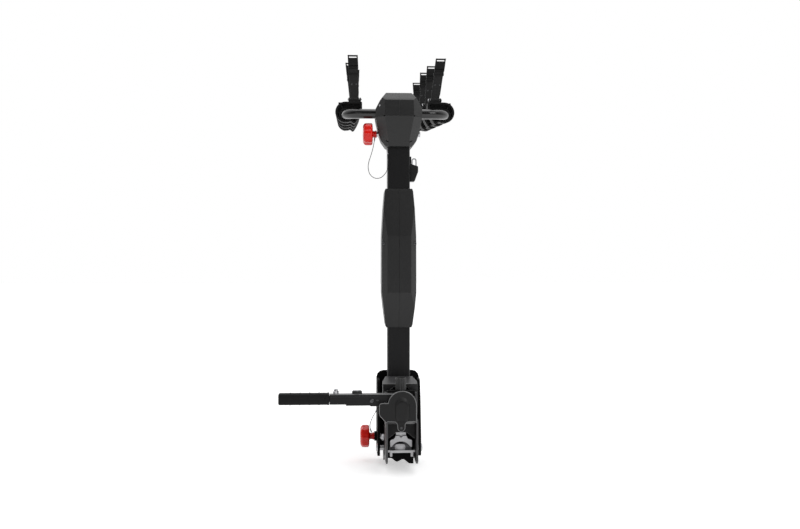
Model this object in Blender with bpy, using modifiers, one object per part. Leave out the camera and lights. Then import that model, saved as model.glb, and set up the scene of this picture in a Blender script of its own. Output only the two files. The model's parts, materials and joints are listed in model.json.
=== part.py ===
"""Hanging rack for four bikes that clamps on a tow ball.

Metres, +Z up. The origin is the centre of the ball, +Y points away from the car along the arms,
and +X is to the right for someone who stands between the car and the rack.
"""

import math

import bmesh
import bpy
from mathutils import Matrix, Vector

# Clearances
FIT = 0.0003
RUNNING = 0.0004
SLIDE = 0.0005

# Tow ball and the two side plates of the coupler
BALL_RADIUS = 0.025
PLATE_INSIDE = 0.030
PLATE_THICK = 0.004
PLATE_OUTSIDE = PLATE_INSIDE + PLATE_THICK
PLATE_FRONT = -0.057
PLATE_FRONT_TOP = 0.075
PLATE_PEAK_TOP = 0.128
PLATE_REAR_TOP = 0.042
FOOT_BOTTOM = -0.019
QUADRANT_RADIUS = 0.060
INSIDE_FIT = PLATE_INSIDE - FIT

# Lever, its cam and the jaw that the cam works
LEVER_Z = 0.107
PIVOT_RADIUS = 0.005
CAM_LOW = 0.0125
CAM_LIFT = 0.008
LEVER_OPEN = math.radians(85)
LEVER_FRONT = -0.046
LEVER_BACK = -0.026
CAM_BACK = 0.0095
JAW_HALF = 0.0235
JAW_DEPTH = 0.015
JAW_BOTTOM = 0.0112
STEM_HALF = 0.010

# Front cover of the coupler
DOME_RADIUS = 0.0304
COVER_THICK = 0.004
COVER_BOTTOM = 0.0685

# Adjuster
ADJUSTER_RADIUS = 0.01175
ADJUSTER_Y = -0.002
ADJUSTER_HEIGHT = 0.027
ADJUSTER_ROD = 0.004
BRIDGE_BOTTOM = 0.121
BRIDGE_TOP = 0.131

# Mast and its tilt joint
TILT_Y = 0.060
TILT_Z = -0.004
TILT_BOLT_RADIUS = 0.006
TILT_OPEN = math.radians(40)
MAST_Y = 0.098
MAST_HALF = 0.025
MAST_WALL = 0.0025
MAST_BOTTOM = 0.060
MAST_JOINT = 0.415
LEG_OUTSIDE = 0.048
LEG_THICK = 0.005
WEB_THICK = 0.005
HOOD_HALF = 0.038
HOOD_WALL = 0.003
HOOD_FRONT = 0.022
HOOD_ARCH = 0.0305

# Cover round the middle of the mast
MID_BOTTOM = 0.262
MID_TOP = 0.572
MID_WALL = 0.0025

# Head, fold joint and arms
FOLD_Z = 0.743
MAST_TOP = FOLD_Z - 0.021
FOLD_OPEN = math.radians(95)
HUB_RADIUS = 0.015
HUB_HALF = 0.0415
CHEEK_THICK = 0.004
INDEX_THICK = 0.005
PIN_REACH = 0.046
ARM_RADIUS = 0.011
ARM_BEND = 0.042
ARM_HALF_SPACING = 0.114
ARM_SHIFT = -0.005
ARM_RISE = math.radians(6)
ARM_LENGTH = 0.640
CAP_DEPTH = 0.015
HEAD_WALL = 0.003
HEAD_SEAM = FOLD_Z - 0.012
HEAD_BOTTOM = FOLD_Z - 0.083
HEAD_TOP = FOLD_Z + 0.039
ANCHOR_TOP = HEAD_BOTTOM - 0.014

# Pull pins with their knobs
PIN_RADIUS = 0.006
UPPER_KNOB_RADIUS = 0.0251
LOWER_KNOB_RADIUS = 0.0254
LOWER_PIN_Y = 0.105
LOWER_PIN_Z = 0.014
UPPER_PIN_Z = FOLD_Z - PIN_REACH
LANYARD_RADIUS = 0.0008

# Bike cradles and their straps
CRADLES = 4
CRADLE_FIRST = 0.073
CRADLE_LAST = 0.057
CRADLE_PITCH = (ARM_LENGTH - CRADLE_FIRST - CRADLE_LAST) / (CRADLES - 1)
CRADLE_SKIN = 0.0045
STRAP_WIDTH = 0.021
STRAP_THICK = 0.003

PLANES = {
    "XY": Matrix.Identity(3),
    "YZ": Matrix(((0, 0, 1), (1, 0, 0), (0, 1, 0))),
    "XZ": Matrix(((1, 0, 0), (0, 0, -1), (0, 1, 0))),
}


def clear_scene():
    """Remove whatever the scene holds."""
    for obj in list(bpy.data.objects):
        bpy.data.objects.remove(obj, do_unlink=True)


def new_collection(name, shown):
    """A collection in the scene; a hidden one holds cutters and other helpers."""
    collection = bpy.data.collections.new(name)
    bpy.context.scene.collection.children.link(collection)
    collection.hide_render = not shown
    return collection


def add_object(name, mesh):
    """An object that holds this mesh, with the helpers until finish() makes it a part."""
    obj = bpy.data.objects.new(name, mesh)
    bpy.data.collections["helpers"].objects.link(obj)
    obj.hide_render = True
    obj.display_type = "WIRE"
    return obj


def from_bmesh(name, shape):
    """An object made from a bmesh, which is freed."""
    mesh = bpy.data.meshes.new(name)
    shape.to_mesh(mesh)
    shape.free()
    return add_object(name, mesh)


def box(name, low, high):
    """A box between two opposite corners."""
    shape = bmesh.new()
    bmesh.ops.create_cube(shape, size=1)
    bmesh.ops.scale(shape, vec=Vector(high) - Vector(low), verts=shape.verts)
    obj = from_bmesh(name, shape)
    obj.location = (Vector(high) + Vector(low)) / 2
    return obj


def rod(name, start, end, radius, sides=16, end_radius=None):
    """A round bar or cone from start to end."""
    run = Vector(end) - Vector(start)
    shape = bmesh.new()
    far = radius if end_radius is None else end_radius
    bmesh.ops.create_cone(shape, cap_ends=True, segments=sides, radius1=radius, radius2=far, depth=run.length)
    obj = from_bmesh(name, shape)
    obj.location = (Vector(start) + Vector(end)) / 2
    obj.rotation_euler = run.to_track_quat("Z", "Y").to_euler()
    return obj


def ball(name, centre, radius, rings=16):
    """A sphere."""
    shape = bmesh.new()
    bmesh.ops.create_uvsphere(shape, u_segments=2 * rings, v_segments=rings, radius=radius)
    obj = from_bmesh(name, shape)
    obj.location = centre
    return obj


def mesh_of_curve(name, curve):
    """An object with the mesh of this curve, its doubled points merged."""
    guide = bpy.data.objects.new(name + "_guide", curve)
    bpy.context.scene.collection.objects.link(guide)
    graph = bpy.context.evaluated_depsgraph_get()
    mesh = bpy.data.meshes.new_from_object(guide.evaluated_get(graph))
    bpy.data.objects.remove(guide, do_unlink=True)
    bpy.data.curves.remove(curve)
    shape = bmesh.new()
    shape.from_mesh(mesh)
    bpy.data.meshes.remove(mesh)
    bmesh.ops.remove_doubles(shape, verts=shape.verts, dist=1e-6)
    bmesh.ops.recalc_face_normals(shape, faces=shape.faces)
    return from_bmesh(name, shape)


def add_spline(curve, points, closed):
    """A run of straight pieces through these points."""
    spline = curve.splines.new("POLY")
    spline.points.add(len(points) - 1)
    for place, point in zip(spline.points, points):
        place.co = Vector(point).to_3d().to_tuple() + (1,)
    spline.use_cyclic_u = closed


def plate(name, plane, outline, start, end, holes=()):
    """A flat outline in a plane, thick from start to end along the plane's third axis."""
    curve = bpy.data.curves.new(name, "CURVE")
    curve.dimensions = "2D"
    curve.fill_mode = "BOTH"
    curve.extrude = (end - start) / 2
    for loop in (outline, *holes):
        add_spline(curve, loop, True)
    obj = mesh_of_curve(name, curve)
    turn = PLANES[plane]
    middle = (start + end) / 2
    along = {"XY": (0, 0, middle), "YZ": (middle, 0, 0), "XZ": (0, middle, 0)}[plane]
    obj.rotation_euler = turn.to_euler()
    obj.location = along
    return obj


def tube(name, points, radius, roundness=2):
    """A round tube along these points, with closed ends."""
    curve = bpy.data.curves.new(name, "CURVE")
    curve.dimensions = "3D"
    curve.bevel_depth = radius
    curve.bevel_resolution = roundness
    curve.use_fill_caps = True
    add_spline(curve, points, False)
    return mesh_of_curve(name, curve)


def turned(name, profile, base, direction, steps=32):
    """A turned piece. The profile lists (radius, height) from top to bottom, on the axis at both ends."""
    shape = bmesh.new()
    places = [shape.verts.new((radius, 0, height)) for radius, height in profile]
    for upper, lower in zip(places, places[1:]):
        shape.edges.new((upper, lower))
    obj = from_bmesh(name, shape)
    screw = obj.modifiers.new("turn", "SCREW")
    screw.steps = steps
    screw.render_steps = steps
    screw.use_merge_vertices = True
    screw.merge_threshold = 0.00002
    screw.use_smooth_shade = False
    obj.location = base
    obj.rotation_euler = Vector(direction).to_track_quat("Z", "Y").to_euler()
    return obj


def loft(name, rings, closed_top=True, closed_bottom=True):
    """A skin through rings of equally many points, listed from the bottom up."""
    shape = bmesh.new()
    loops = []
    for ring in rings:
        places = [shape.verts.new(point) for point in ring]
        loops.append([shape.edges.new(pair) for pair in zip(places, places[1:] + places[:1])])
    for lower, upper in zip(loops, loops[1:]):
        bmesh.ops.bridge_loops(shape, edges=lower + upper)
    if closed_bottom:
        bmesh.ops.edgeloop_fill(shape, edges=loops[0])
    if closed_top:
        bmesh.ops.edgeloop_fill(shape, edges=loops[-1])
    bmesh.ops.recalc_face_normals(shape, faces=shape.faces)
    return from_bmesh(name, shape)


def skin(name, rings, closed, lid=False):
    """An open skin through rings listed from the bottom up, each counterclockwise seen from above."""
    shape = bmesh.new()
    places = [[shape.verts.new(point) for point in ring] for ring in rings]
    count = len(rings[0])
    for lower, upper in zip(places, places[1:]):
        for i in range(count if closed else count - 1):
            j = (i + 1) % count
            shape.faces.new((lower[i], lower[j], upper[j], upper[i]))
    if lid:
        shape.faces.new(places[-1])
    return from_bmesh(name, shape)


def solidify(obj, thickness):
    """Make an open skin a wall that grows inwards."""
    wall = obj.modifiers.new("wall", "SOLIDIFY")
    wall.thickness = thickness
    wall.offset = -1
    wall.use_even_offset = True
    return obj


def soften(obj, width, segments=1, angle=35):
    """Bevel the edges that are sharper than this angle."""
    edge = obj.modifiers.new("soft_edges", "BEVEL")
    edge.width = width
    edge.segments = segments
    edge.limit_method = "ANGLE"
    edge.angle_limit = math.radians(angle)
    edge.use_clamp_overlap = True
    return obj


def combine(obj, operation, others):
    """Cut, join or intersect with each of the others, which stay as helpers."""
    for other in others:
        step = obj.modifiers.new(operation.lower(), "BOOLEAN")
        step.operation = operation
        step.solver = "EXACT"
        step.object = other
    return obj


def cut(obj, *others):
    """Take the others away."""
    return combine(obj, "DIFFERENCE", others)


def join(obj, *others):
    """Add the others."""
    return combine(obj, "UNION", others)


def common(obj, *others):
    """Keep what lies in the others too."""
    return combine(obj, "INTERSECT", others)


def finish(obj, name, look, round_angle=None):
    """Make the object a part: its node name, its own material, and smooth shading where it is round."""
    colour, roughness, metallic = look
    obj.name = name
    obj.data.name = name
    bpy.data.collections["helpers"].objects.unlink(obj)
    bpy.data.collections["ball_clamp_bike_rack"].objects.link(obj)
    obj.hide_render = False
    obj.display_type = "TEXTURED"
    material = bpy.data.materials.new(name)
    material.use_nodes = True
    shader = material.node_tree.nodes["Principled BSDF"]
    shader.inputs["Base Color"].default_value = (*colour, 1)
    shader.inputs["Roughness"].default_value = roughness
    shader.inputs["Metallic"].default_value = metallic
    obj.data.materials.clear()
    obj.data.materials.append(material)
    if round_angle is not None:
        obj.data.shade_smooth()
        obj.data.set_sharp_from_angle(angle=math.radians(round_angle))
    return obj


def pivot(name, place):
    """An empty on a joint's axis."""
    empty = bpy.data.objects.new(name, None)
    empty.empty_display_size = 0.02
    empty.location = place
    bpy.data.collections["ball_clamp_bike_rack"].objects.link(empty)
    return empty


def carry(parent, children):
    """Parent the children where they stand."""
    bpy.context.view_layer.update()
    for child in children:
        child.parent = parent
        child.matrix_parent_inverse = parent.matrix_world.inverted()


def arc(centre, radius, start, end, steps):
    """Points along an arc, angles in degrees."""
    turns = [math.radians(start + (end - start) * i / steps) for i in range(steps + 1)]
    return [(centre[0] + radius * math.cos(t), centre[1] + radius * math.sin(t)) for t in turns]


def circle(centre, radius, steps=16):
    """Points round a circle."""
    return arc(centre, radius, 0, 360 - 360 / steps, steps - 1)


def rounded(corners, steps=2):
    """A closed outline whose corners (a, b, radius) are rounded."""
    outline = []
    for i, (a, b, radius) in enumerate(corners):
        here = Vector((a, b))
        if radius == 0:
            outline.append((a, b))
            continue
        before = Vector(corners[i - 1][:2]) - here
        after = Vector(corners[(i + 1) % len(corners)][:2]) - here
        half = before.angle(after) / 2
        reach = radius / math.tan(half)
        start = here + before.normalized() * reach
        end = here + after.normalized() * reach
        centre = here + (before.normalized() + after.normalized()).normalized() * radius / math.sin(half)
        first = start - centre
        turn = first.angle_signed(end - centre)
        for k in range(steps + 1):
            spoke = first.copy()
            spoke.rotate(Matrix.Rotation(-turn * k / steps, 2))
            outline.append(tuple(centre + spoke))
    return outline


def mirrored(half):
    """An outline closed by its mirror image across the first axis's zero, listed from bottom to top."""
    return half + [(-a, b) for a, b in reversed(half) if abs(a) > 1e-6]


def baked(obj):
    """The object with its modifiers and its transform made part of its mesh."""
    bpy.context.view_layer.update()
    graph = bpy.context.evaluated_depsgraph_get()
    mesh = bpy.data.meshes.new_from_object(obj.evaluated_get(graph))
    mesh.transform(obj.matrix_world)
    return add_object(obj.name, mesh)


BLACK_STEEL = ((0.012, 0.012, 0.013), 0.38, 0.4)
SATIN_BLACK = ((0.016, 0.016, 0.017), 0.5, 0.1)
BLACK_PLASTIC = ((0.022, 0.022, 0.023), 0.6, 0.0)
GLOSS_BLACK = ((0.010, 0.010, 0.011), 0.22, 0.3)
SOFT_BLACK = ((0.018, 0.018, 0.019), 0.75, 0.0)
BRIGHT_STEEL = ((0.62, 0.62, 0.63), 0.32, 1.0)
RED_PLASTIC = ((0.75, 0.035, 0.01), 0.35, 0.0)


def pin_angle():
    """Direction of the lower pin from the tilt bolt, in degrees."""
    return math.degrees(math.atan2(LOWER_PIN_Z - TILT_Z, LOWER_PIN_Y - TILT_Y))


def pin_reach():
    """Distance of the lower pin from the tilt bolt."""
    return math.hypot(LOWER_PIN_Z - TILT_Z, LOWER_PIN_Y - TILT_Y)


def arc_slot(centre, reach, half_width, start, end):
    """Outline of a curved slot, angles in degrees with start below end."""
    first = (centre[0] + reach * math.cos(math.radians(start)), centre[1] + reach * math.sin(math.radians(start)))
    last = (centre[0] + reach * math.cos(math.radians(end)), centre[1] + reach * math.sin(math.radians(end)))
    outer = arc(centre, reach + half_width, start, end, 6)
    far_cap = arc(last, half_width, end, end + 180, 6)[1:-1]
    inner = arc(centre, reach - half_width, end, start, 6)
    near_cap = arc(first, half_width, start + 180, start + 360, 6)[1:-1]
    return outer + far_cap + inner + near_cap


CROSS_BOLT = (0.042, 0.022)
CROSS_BOLT_RADIUS = 0.004
PLATE_CORNERS = (
    (0.100, PLATE_REAR_TOP, 0),
    (0.045, PLATE_REAR_TOP, 0.006),
    (0.016, PLATE_PEAK_TOP, 0.004),
    (-0.012, PLATE_PEAK_TOP, 0.004),
    (-0.016, PLATE_FRONT_TOP, 0.003),
    (PLATE_FRONT, PLATE_FRONT_TOP, 0.004),
    (PLATE_FRONT, -0.012, 0.005),
    (-0.044, FOOT_BOTTOM, 0.005),
    (0.002, FOOT_BOTTOM, 0.005),
    (0.012, FOOT_BOTTOM + 0.005, 0.006),
)


def build_side_plates():
    """The two side plates: front post, peak over the lever, and a quadrant round the tilt bolt."""
    centre = (TILT_Y, TILT_Z)
    quadrant = arc(centre, QUADRANT_RADIUS, -38, 48, 8)
    outline = quadrant + rounded(PLATE_CORNERS)[1:]
    bolt_hole = circle(CROSS_BOLT, CROSS_BOLT_RADIUS + FIT, 12)
    tilt_hole = circle(centre, TILT_BOLT_RADIUS + FIT)
    track = arc_slot(
        centre, pin_reach(), PIN_RADIUS + SLIDE, pin_angle() - math.degrees(TILT_OPEN), pin_angle()
    )
    left = plate("left", "YZ", outline, -PLATE_OUTSIDE, -PLATE_INSIDE, (bolt_hole, tilt_hole, track))
    right = plate("right", "YZ", outline, PLATE_INSIDE, PLATE_OUTSIDE, (bolt_hole, tilt_hole))
    return [
        finish(left, "coupler_plate_left", BLACK_STEEL),
        finish(right, "coupler_plate_right", BLACK_STEEL),
    ]


WEB_FRONT = 0.012
WEB_BACK = 0.016
WEB_BOTTOM = 0.046
WALL_FRONT = 0.028
WALL_BACK = 0.032
WALL_EDGE = (
    (-INSIDE_FIT, -0.0210, 0),
    (-0.0180, -0.0215, 0.006),
    (-0.0073, -0.0305, 0.006),
    (0.0072, -0.0225, 0.006),
    (0.0200, -0.0335, 0.008),
    (INSIDE_FIT, -0.0335, 0),
)
GUIDE_FRONT = -0.024
GUIDE_TOP = 0.066


def build_inner_walls():
    """What joins the plates: bridge, pivot web, rear wall with a wavy lower edge, and the jaw's guide."""
    bridge = box("bridge", (-INSIDE_FIT, -0.012, BRIDGE_BOTTOM), (INSIDE_FIT, 0.010, BRIDGE_TOP))
    rod_way = rod(
        "rod_way", (0, ADJUSTER_Y, BRIDGE_BOTTOM - 0.01), (0, ADJUSTER_Y, BRIDGE_TOP + 0.01), ADJUSTER_ROD + RUNNING
    )
    cut(bridge, rod_way)
    web = plate(
        "web",
        "XZ",
        [
            (-INSIDE_FIT, WEB_BOTTOM),
            (INSIDE_FIT, WEB_BOTTOM),
            (INSIDE_FIT, BRIDGE_BOTTOM - FIT),
            (-INSIDE_FIT, BRIDGE_BOTTOM - FIT),
        ],
        WEB_FRONT,
        WEB_BACK,
        (circle((0, LEVER_Z), PIVOT_RADIUS + FIT),),
    )
    edge = rounded(WALL_EDGE + ((INSIDE_FIT, 0.050, 0), (-INSIDE_FIT, 0.050, 0)))
    wall = plate("wall", "XZ", edge, WALL_FRONT, WALL_BACK)
    guide = plate(
        "guide",
        "XZ",
        mirrored([(0.012, 0.044), (INSIDE_FIT, 0.030), (INSIDE_FIT, GUIDE_TOP)]),
        GUIDE_FRONT,
        WEB_FRONT - FIT,
    )
    way = STEM_HALF + FIT
    cut(guide, box("stem_way", (-way, -way, 0.02), (way, way, 0.08)))
    return [
        finish(bridge, "coupler_bridge", BLACK_STEEL),
        finish(web, "coupler_web", BLACK_STEEL),
        finish(wall, "coupler_back", BLACK_STEEL),
        finish(guide, "jaw_guide", SATIN_BLACK),
    ]


def ball_recess():
    """The space that the tow ball takes, with its clearance."""
    return ball("ball_recess", (0, 0, 0), BALL_RADIUS + FIT)


def build_ball_seat():
    """The fixed seat behind the ball and the bright guide in front of its neck."""
    seat = box("seat", (-0.024, 0.012, -0.006), (0.024, WALL_FRONT - FIT, JAW_BOTTOM - 2 * FIT))
    cut(seat, ball_recess())
    lug = INSIDE_FIT
    half = [
        (0.0195, 0.0017),
        (0.0195, -0.0064),
        (0.0252, -0.0064),
        (0.0252, 0.0030),
        (lug, 0.0030),
        (lug, 0.0075),
    ]
    neck = plate("neck", "XZ", mirrored(half), -0.031, -0.027)
    soften(neck, 0.0006)
    return [finish(seat, "ball_seat", BRIGHT_STEEL, 30), finish(neck, "neck_guide", BRIGHT_STEEL)]


def build_jaw():
    """The jaw: two horns with a spherical hollow for the ball, on a square stem that the cam presses down."""
    shoulder = JAW_BOTTOM + 0.0143
    horns = mirrored(
        [
            (JAW_HALF, JAW_BOTTOM),
            (JAW_HALF, shoulder),
            (JAW_HALF - 0.006, shoulder + 0.0015),
            (STEM_HALF + 0.0025, shoulder + 0.0055),
            (STEM_HALF, shoulder + 0.0095),
        ]
    )
    jaw = plate("jaw", "XZ", horns, -JAW_DEPTH, 0.020)
    stem_top = LEVER_Z - CAM_LOW - CAM_LIFT - FIT
    stem = box("stem", (-STEM_HALF, -STEM_HALF, 0.028), (STEM_HALF, STEM_HALF, stem_top))
    join(jaw, stem)
    cut(jaw, ball_recess())
    jaw = finish(jaw, "upper_jaw", BRIGHT_STEEL, 30)
    carry(pivot("jaw_slide", (0, 0, JAW_BOTTOM)), [jaw])
    return jaw


COVER_BACK = PLATE_FRONT - FIT
COVER_FRONT = COVER_BACK - COVER_THICK
COVER_SCREW = (-0.0020, 0.0600)
TONGUE_RADIUS = 0.0084
NOTCH_RIGHT = (
    (DOME_RADIUS, COVER_BOTTOM, 0.002),
    (0.0262, COVER_BOTTOM, 0),
    (0.0262, COVER_BOTTOM + 0.0041, 0.003),
    (0.0100, COVER_BOTTOM + 0.0038, 0.007),
)
NOTCH_LEFT = (
    (-0.0140, COVER_BOTTOM + 0.0035, 0.007),
    (-0.0305, COVER_BOTTOM + 0.0041, 0.003),
    (-0.0305, COVER_BOTTOM, 0),
    (-0.0330, COVER_BOTTOM, 0.002),
    (-0.0489, 0.0880, 0.005),
)


def build_clamp_cover():
    """The domed front cover: raised rib, left ear, and a lower tongue with its screw hole between two notches."""
    ear_top = 0.112
    ear_angle = 180 - math.degrees(math.asin((ear_top - LEVER_Z) / DOME_RADIUS))
    dome = arc((0, LEVER_Z), DOME_RADIUS, ear_angle, 0, 17)
    tongue = arc(COVER_SCREW, TONGUE_RADIUS, 0, -180, 7)
    corners = tuple((a, b, 0) for a, b in dome) + NOTCH_RIGHT
    corners += tuple((a, b, 0) for a, b in tongue) + NOTCH_LEFT + ((-0.0489, ear_top, 0.007),)
    outline = rounded(corners)
    cover = plate("cover", "XZ", outline, COVER_FRONT, COVER_BACK, (circle(COVER_SCREW, 0.0016, 10),))
    rib_half = 0.015
    rib_end = COVER_BOTTOM + 0.0065
    rib_outline = arc((0, LEVER_Z - 0.002), rib_half, 0, 180, 10) + [(-rib_half, rib_end), (rib_half, rib_end)]
    rib = plate("rib", "XZ", rib_outline, COVER_FRONT - 0.004, COVER_BACK - 0.001)
    soften(rib, 0.0032, 2)
    join(cover, rib)
    return [finish(cover, "clamp_cover", BLACK_PLASTIC, 30)]


def build_coupler_bolts():
    """The cross bolt with its nuts, the lever's pivot pin and the tilt bolt."""
    y, z = CROSS_BOLT
    bolt = rod("bolt", (-0.041, y, z), (0.041, y, z), CROSS_BOLT_RADIUS, 12)
    for side in (-1, 1):
        inner = side * (PLATE_OUTSIDE + FIT)
        nut = rod("nut", (inner, y, z), (inner + side * 0.005, y, z), 0.0072, 6)
        join(bolt, nut)
    pin = rod("pin", (0, PLATE_FRONT, LEVER_Z), (0, WEB_BACK + 0.001, LEVER_Z), PIVOT_RADIUS)
    cap = rod("cap", (0, WEB_BACK + FIT, LEVER_Z), (0, WEB_BACK + 0.003, LEVER_Z), 0.008)
    join(pin, cap)
    half = LEG_OUTSIDE + 0.001
    tilt = rod("tilt", (-half, TILT_Y, TILT_Z), (half, TILT_Y, TILT_Z), TILT_BOLT_RADIUS)
    for side in (-1, 1):
        start = (side * (LEG_OUTSIDE + FIT), TILT_Y, TILT_Z)
        end = (side * (LEG_OUTSIDE + 0.0035), TILT_Y, TILT_Z)
        join(tilt, rod("head", start, end, 0.010, 16, 0.007))
    return [
        finish(bolt, "cross_bolt", BRIGHT_STEEL),
        finish(pin, "lever_pivot", BRIGHT_STEEL, 30),
        finish(tilt, "tilt_bolt", BLACK_STEEL, 30),
    ]


def build_adjuster():
    """The fluted column that turns on top of the bridge."""
    flutes = 10
    steps = 4 * flutes
    outline = []
    for i in range(steps):
        angle = 2 * math.pi * i / steps
        radius = ADJUSTER_RADIUS - 0.0011 * (1 - math.cos(flutes * angle)) / 2
        outline.append((radius * math.cos(angle), ADJUSTER_Y + radius * math.sin(angle)))
    base = BRIDGE_TOP + FIT
    column = plate("column", "XY", outline, base, base + ADJUSTER_HEIGHT)
    shank = rod("shank", (0, ADJUSTER_Y, BRIDGE_BOTTOM), (0, ADJUSTER_Y, base + 0.005), ADJUSTER_ROD)
    join(column, shank)
    column = finish(column, "adjuster", BLACK_PLASTIC, 30)
    carry(pivot("adjuster_axis", (0, ADJUSTER_Y, base)), [column])
    return column


def build_coupler():
    """Everything that stays on the ball."""
    parts = build_side_plates() + build_inner_walls() + build_ball_seat()
    return parts + build_clamp_cover() + build_coupler_bolts()


ARM_TOP = LEVER_Z + 0.022
GRIP_START = -0.153
GRIP_END = -0.260
GRIP_HALF = 0.0122
GRIP_Z = LEVER_Z + 0.012
TANG_END = GRIP_START - 0.047
NUT_X = -0.1392
LOCK_X = -0.0947
SCREW_X = -0.0632
LEVER_Y = (LEVER_FRONT + LEVER_BACK) / 2


def cam_outline():
    """The cam's edge. Its flat follower drops by an equal step for each degree, so the working side is an involute."""
    drop = CAM_LIFT / LEVER_OPEN
    edge = []
    for i in range(15):
        angle = -math.pi / 2 + LEVER_OPEN * i / 14
        support = CAM_LOW + CAM_LIFT * (1 - i / 14)
        across = -drop
        x = support * math.cos(angle) - across * math.sin(angle)
        z = support * math.sin(angle) + across * math.cos(angle)
        edge.append((x, LEVER_Z + z))
    return edge + arc((0, LEVER_Z), CAM_LOW, math.degrees(LEVER_OPEN) - 90, 225, 18)


def build_lever():
    """The hand lever: cam, arm, ribbed grip, lock, nut and screw, all on the pivot's axis."""
    arm_outline = [
        (GRIP_START + 0.0005, LEVER_Z + 0.0004),
        (-0.118, LEVER_Z + 0.0004),
        (-0.118, LEVER_Z - 0.0021),
        (-0.067, LEVER_Z - 0.0021),
        (-0.067, LEVER_Z - 0.0037),
        (-0.047, LEVER_Z - 0.0037),
        (-0.041, LEVER_Z + 0.0020),
        (-0.030, LEVER_Z + 0.0080),
        (-0.022, LEVER_Z + 0.0060),
        (-0.009, LEVER_Z - 0.0070),
        (0.008, LEVER_Z - 0.0070),
        (0.0125, LEVER_Z + 0.0050),
        (-0.010, ARM_TOP),
        (GRIP_START + 0.0005, ARM_TOP),
    ]
    arm = plate("arm", "XZ", arm_outline, LEVER_FRONT, LEVER_BACK)
    soften(arm, 0.0018)
    cam = plate("cam", "XZ", cam_outline(), LEVER_FRONT + 0.002, CAM_BACK)
    join(arm, cam)
    bore = rod("bore", (0, -0.07, LEVER_Z), (0, 0.03, LEVER_Z), PIVOT_RADIUS + RUNNING)
    tang = box("tang", (TANG_END, LEVER_Y - 0.006, GRIP_Z - 0.006), (GRIP_START + 0.01, LEVER_Y + 0.006, GRIP_Z + 0.006))
    join(arm, tang)
    cut(arm, bore)
    arm = finish(arm, "lever_arm", BLACK_STEEL, 30)
    grip = build_grip()
    nut = rod("nut", (NUT_X, LEVER_Y, ARM_TOP + FIT), (NUT_X, LEVER_Y, ARM_TOP + 0.006), 0.0062, 6)
    join(nut, ball("dome", (NUT_X, LEVER_Y, ARM_TOP + 0.006), 0.0056, 8))
    lock = turned(
        "lock",
        [(0, 0.0075), (0.005, 0.0070), (0.0085, 0.0055), (0.0090, 0.0050), (0.0108, 0.0050), (0.0108, 0), (0, 0)],
        (LOCK_X, LEVER_Y, ARM_TOP + FIT),
        (0, 0, 1),
        24,
    )
    screw = turned(
        "screw",
        [(0, 0.003), (0.003, 0.0026), (0.0048, 0.001), (0.0048, 0), (0, 0)],
        (SCREW_X, LEVER_FRONT - FIT, LEVER_Z + 0.008),
        (0, -1, 0),
        20,
    )
    parts = [
        arm,
        grip,
        finish(nut, "lever_nut", BRIGHT_STEEL, 30),
        finish(lock, "lever_lock", BRIGHT_STEEL, 30),
        finish(screw, "lever_screw", BRIGHT_STEEL, 30),
    ]
    carry(pivot("lever_axis", (0, LEVER_Y, LEVER_Z)), parts)
    return parts


def build_grip():
    """The rubber grip: eight sides, four low rings and a hollow for the arm's tang."""
    flat = GRIP_HALF
    corner = 0.0072
    section = [
        (flat, corner),
        (corner, flat),
        (-corner, flat),
        (-flat, corner),
        (-flat, -corner),
        (-corner, -flat),
        (corner, -flat),
        (flat, -corner),
    ]
    stops = [(GRIP_START, 0.96), (GRIP_START - 0.002, 1.0)]
    for k in range(4):
        ring = GRIP_START - 0.022 - 0.0205 * k
        stops += [(ring + 0.0015, 1.0), (ring, 1.035), (ring - 0.0015, 1.0)]
    stops += [(GRIP_END + 0.003, 1.0), (GRIP_END, 0.86)]
    rings = [[(x, LEVER_Y + a * scale, GRIP_Z + b * scale) for a, b in section] for x, scale in stops]
    grip = loft("grip", rings)
    room = 0.006 + FIT
    hollow = box(
        "hollow",
        (-0.200 - FIT, LEVER_Y - room, GRIP_Z - room),
        (GRIP_START + 0.01, LEVER_Y + room, GRIP_Z + room),
    )
    cut(grip, hollow)
    return finish(grip, "lever_grip", SOFT_BLACK)


MAST_FRONT = MAST_Y - MAST_HALF
MAST_BACK = MAST_Y + MAST_HALF
BOLT_RADIUS = 0.004
BOLT_HEIGHT = 0.105
WEB_BOTTOM_Z = TILT_Z - 0.020
WEB_LAP = 0.0008
LEG_CORNERS = (
    (0.046, -0.020, 0.006),
    (0.072, WEB_BOTTOM_Z, 0.008),
    (MAST_BACK + FIT + WEB_THICK / 2, WEB_BOTTOM_Z, 0.006),
    (MAST_BACK + FIT + WEB_THICK / 2, 0.145, 0),
    (0.080, 0.145, 0.010),
    (0.062, 0.100, 0.020),
    (0.044, 0.020, 0.015),
)


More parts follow.
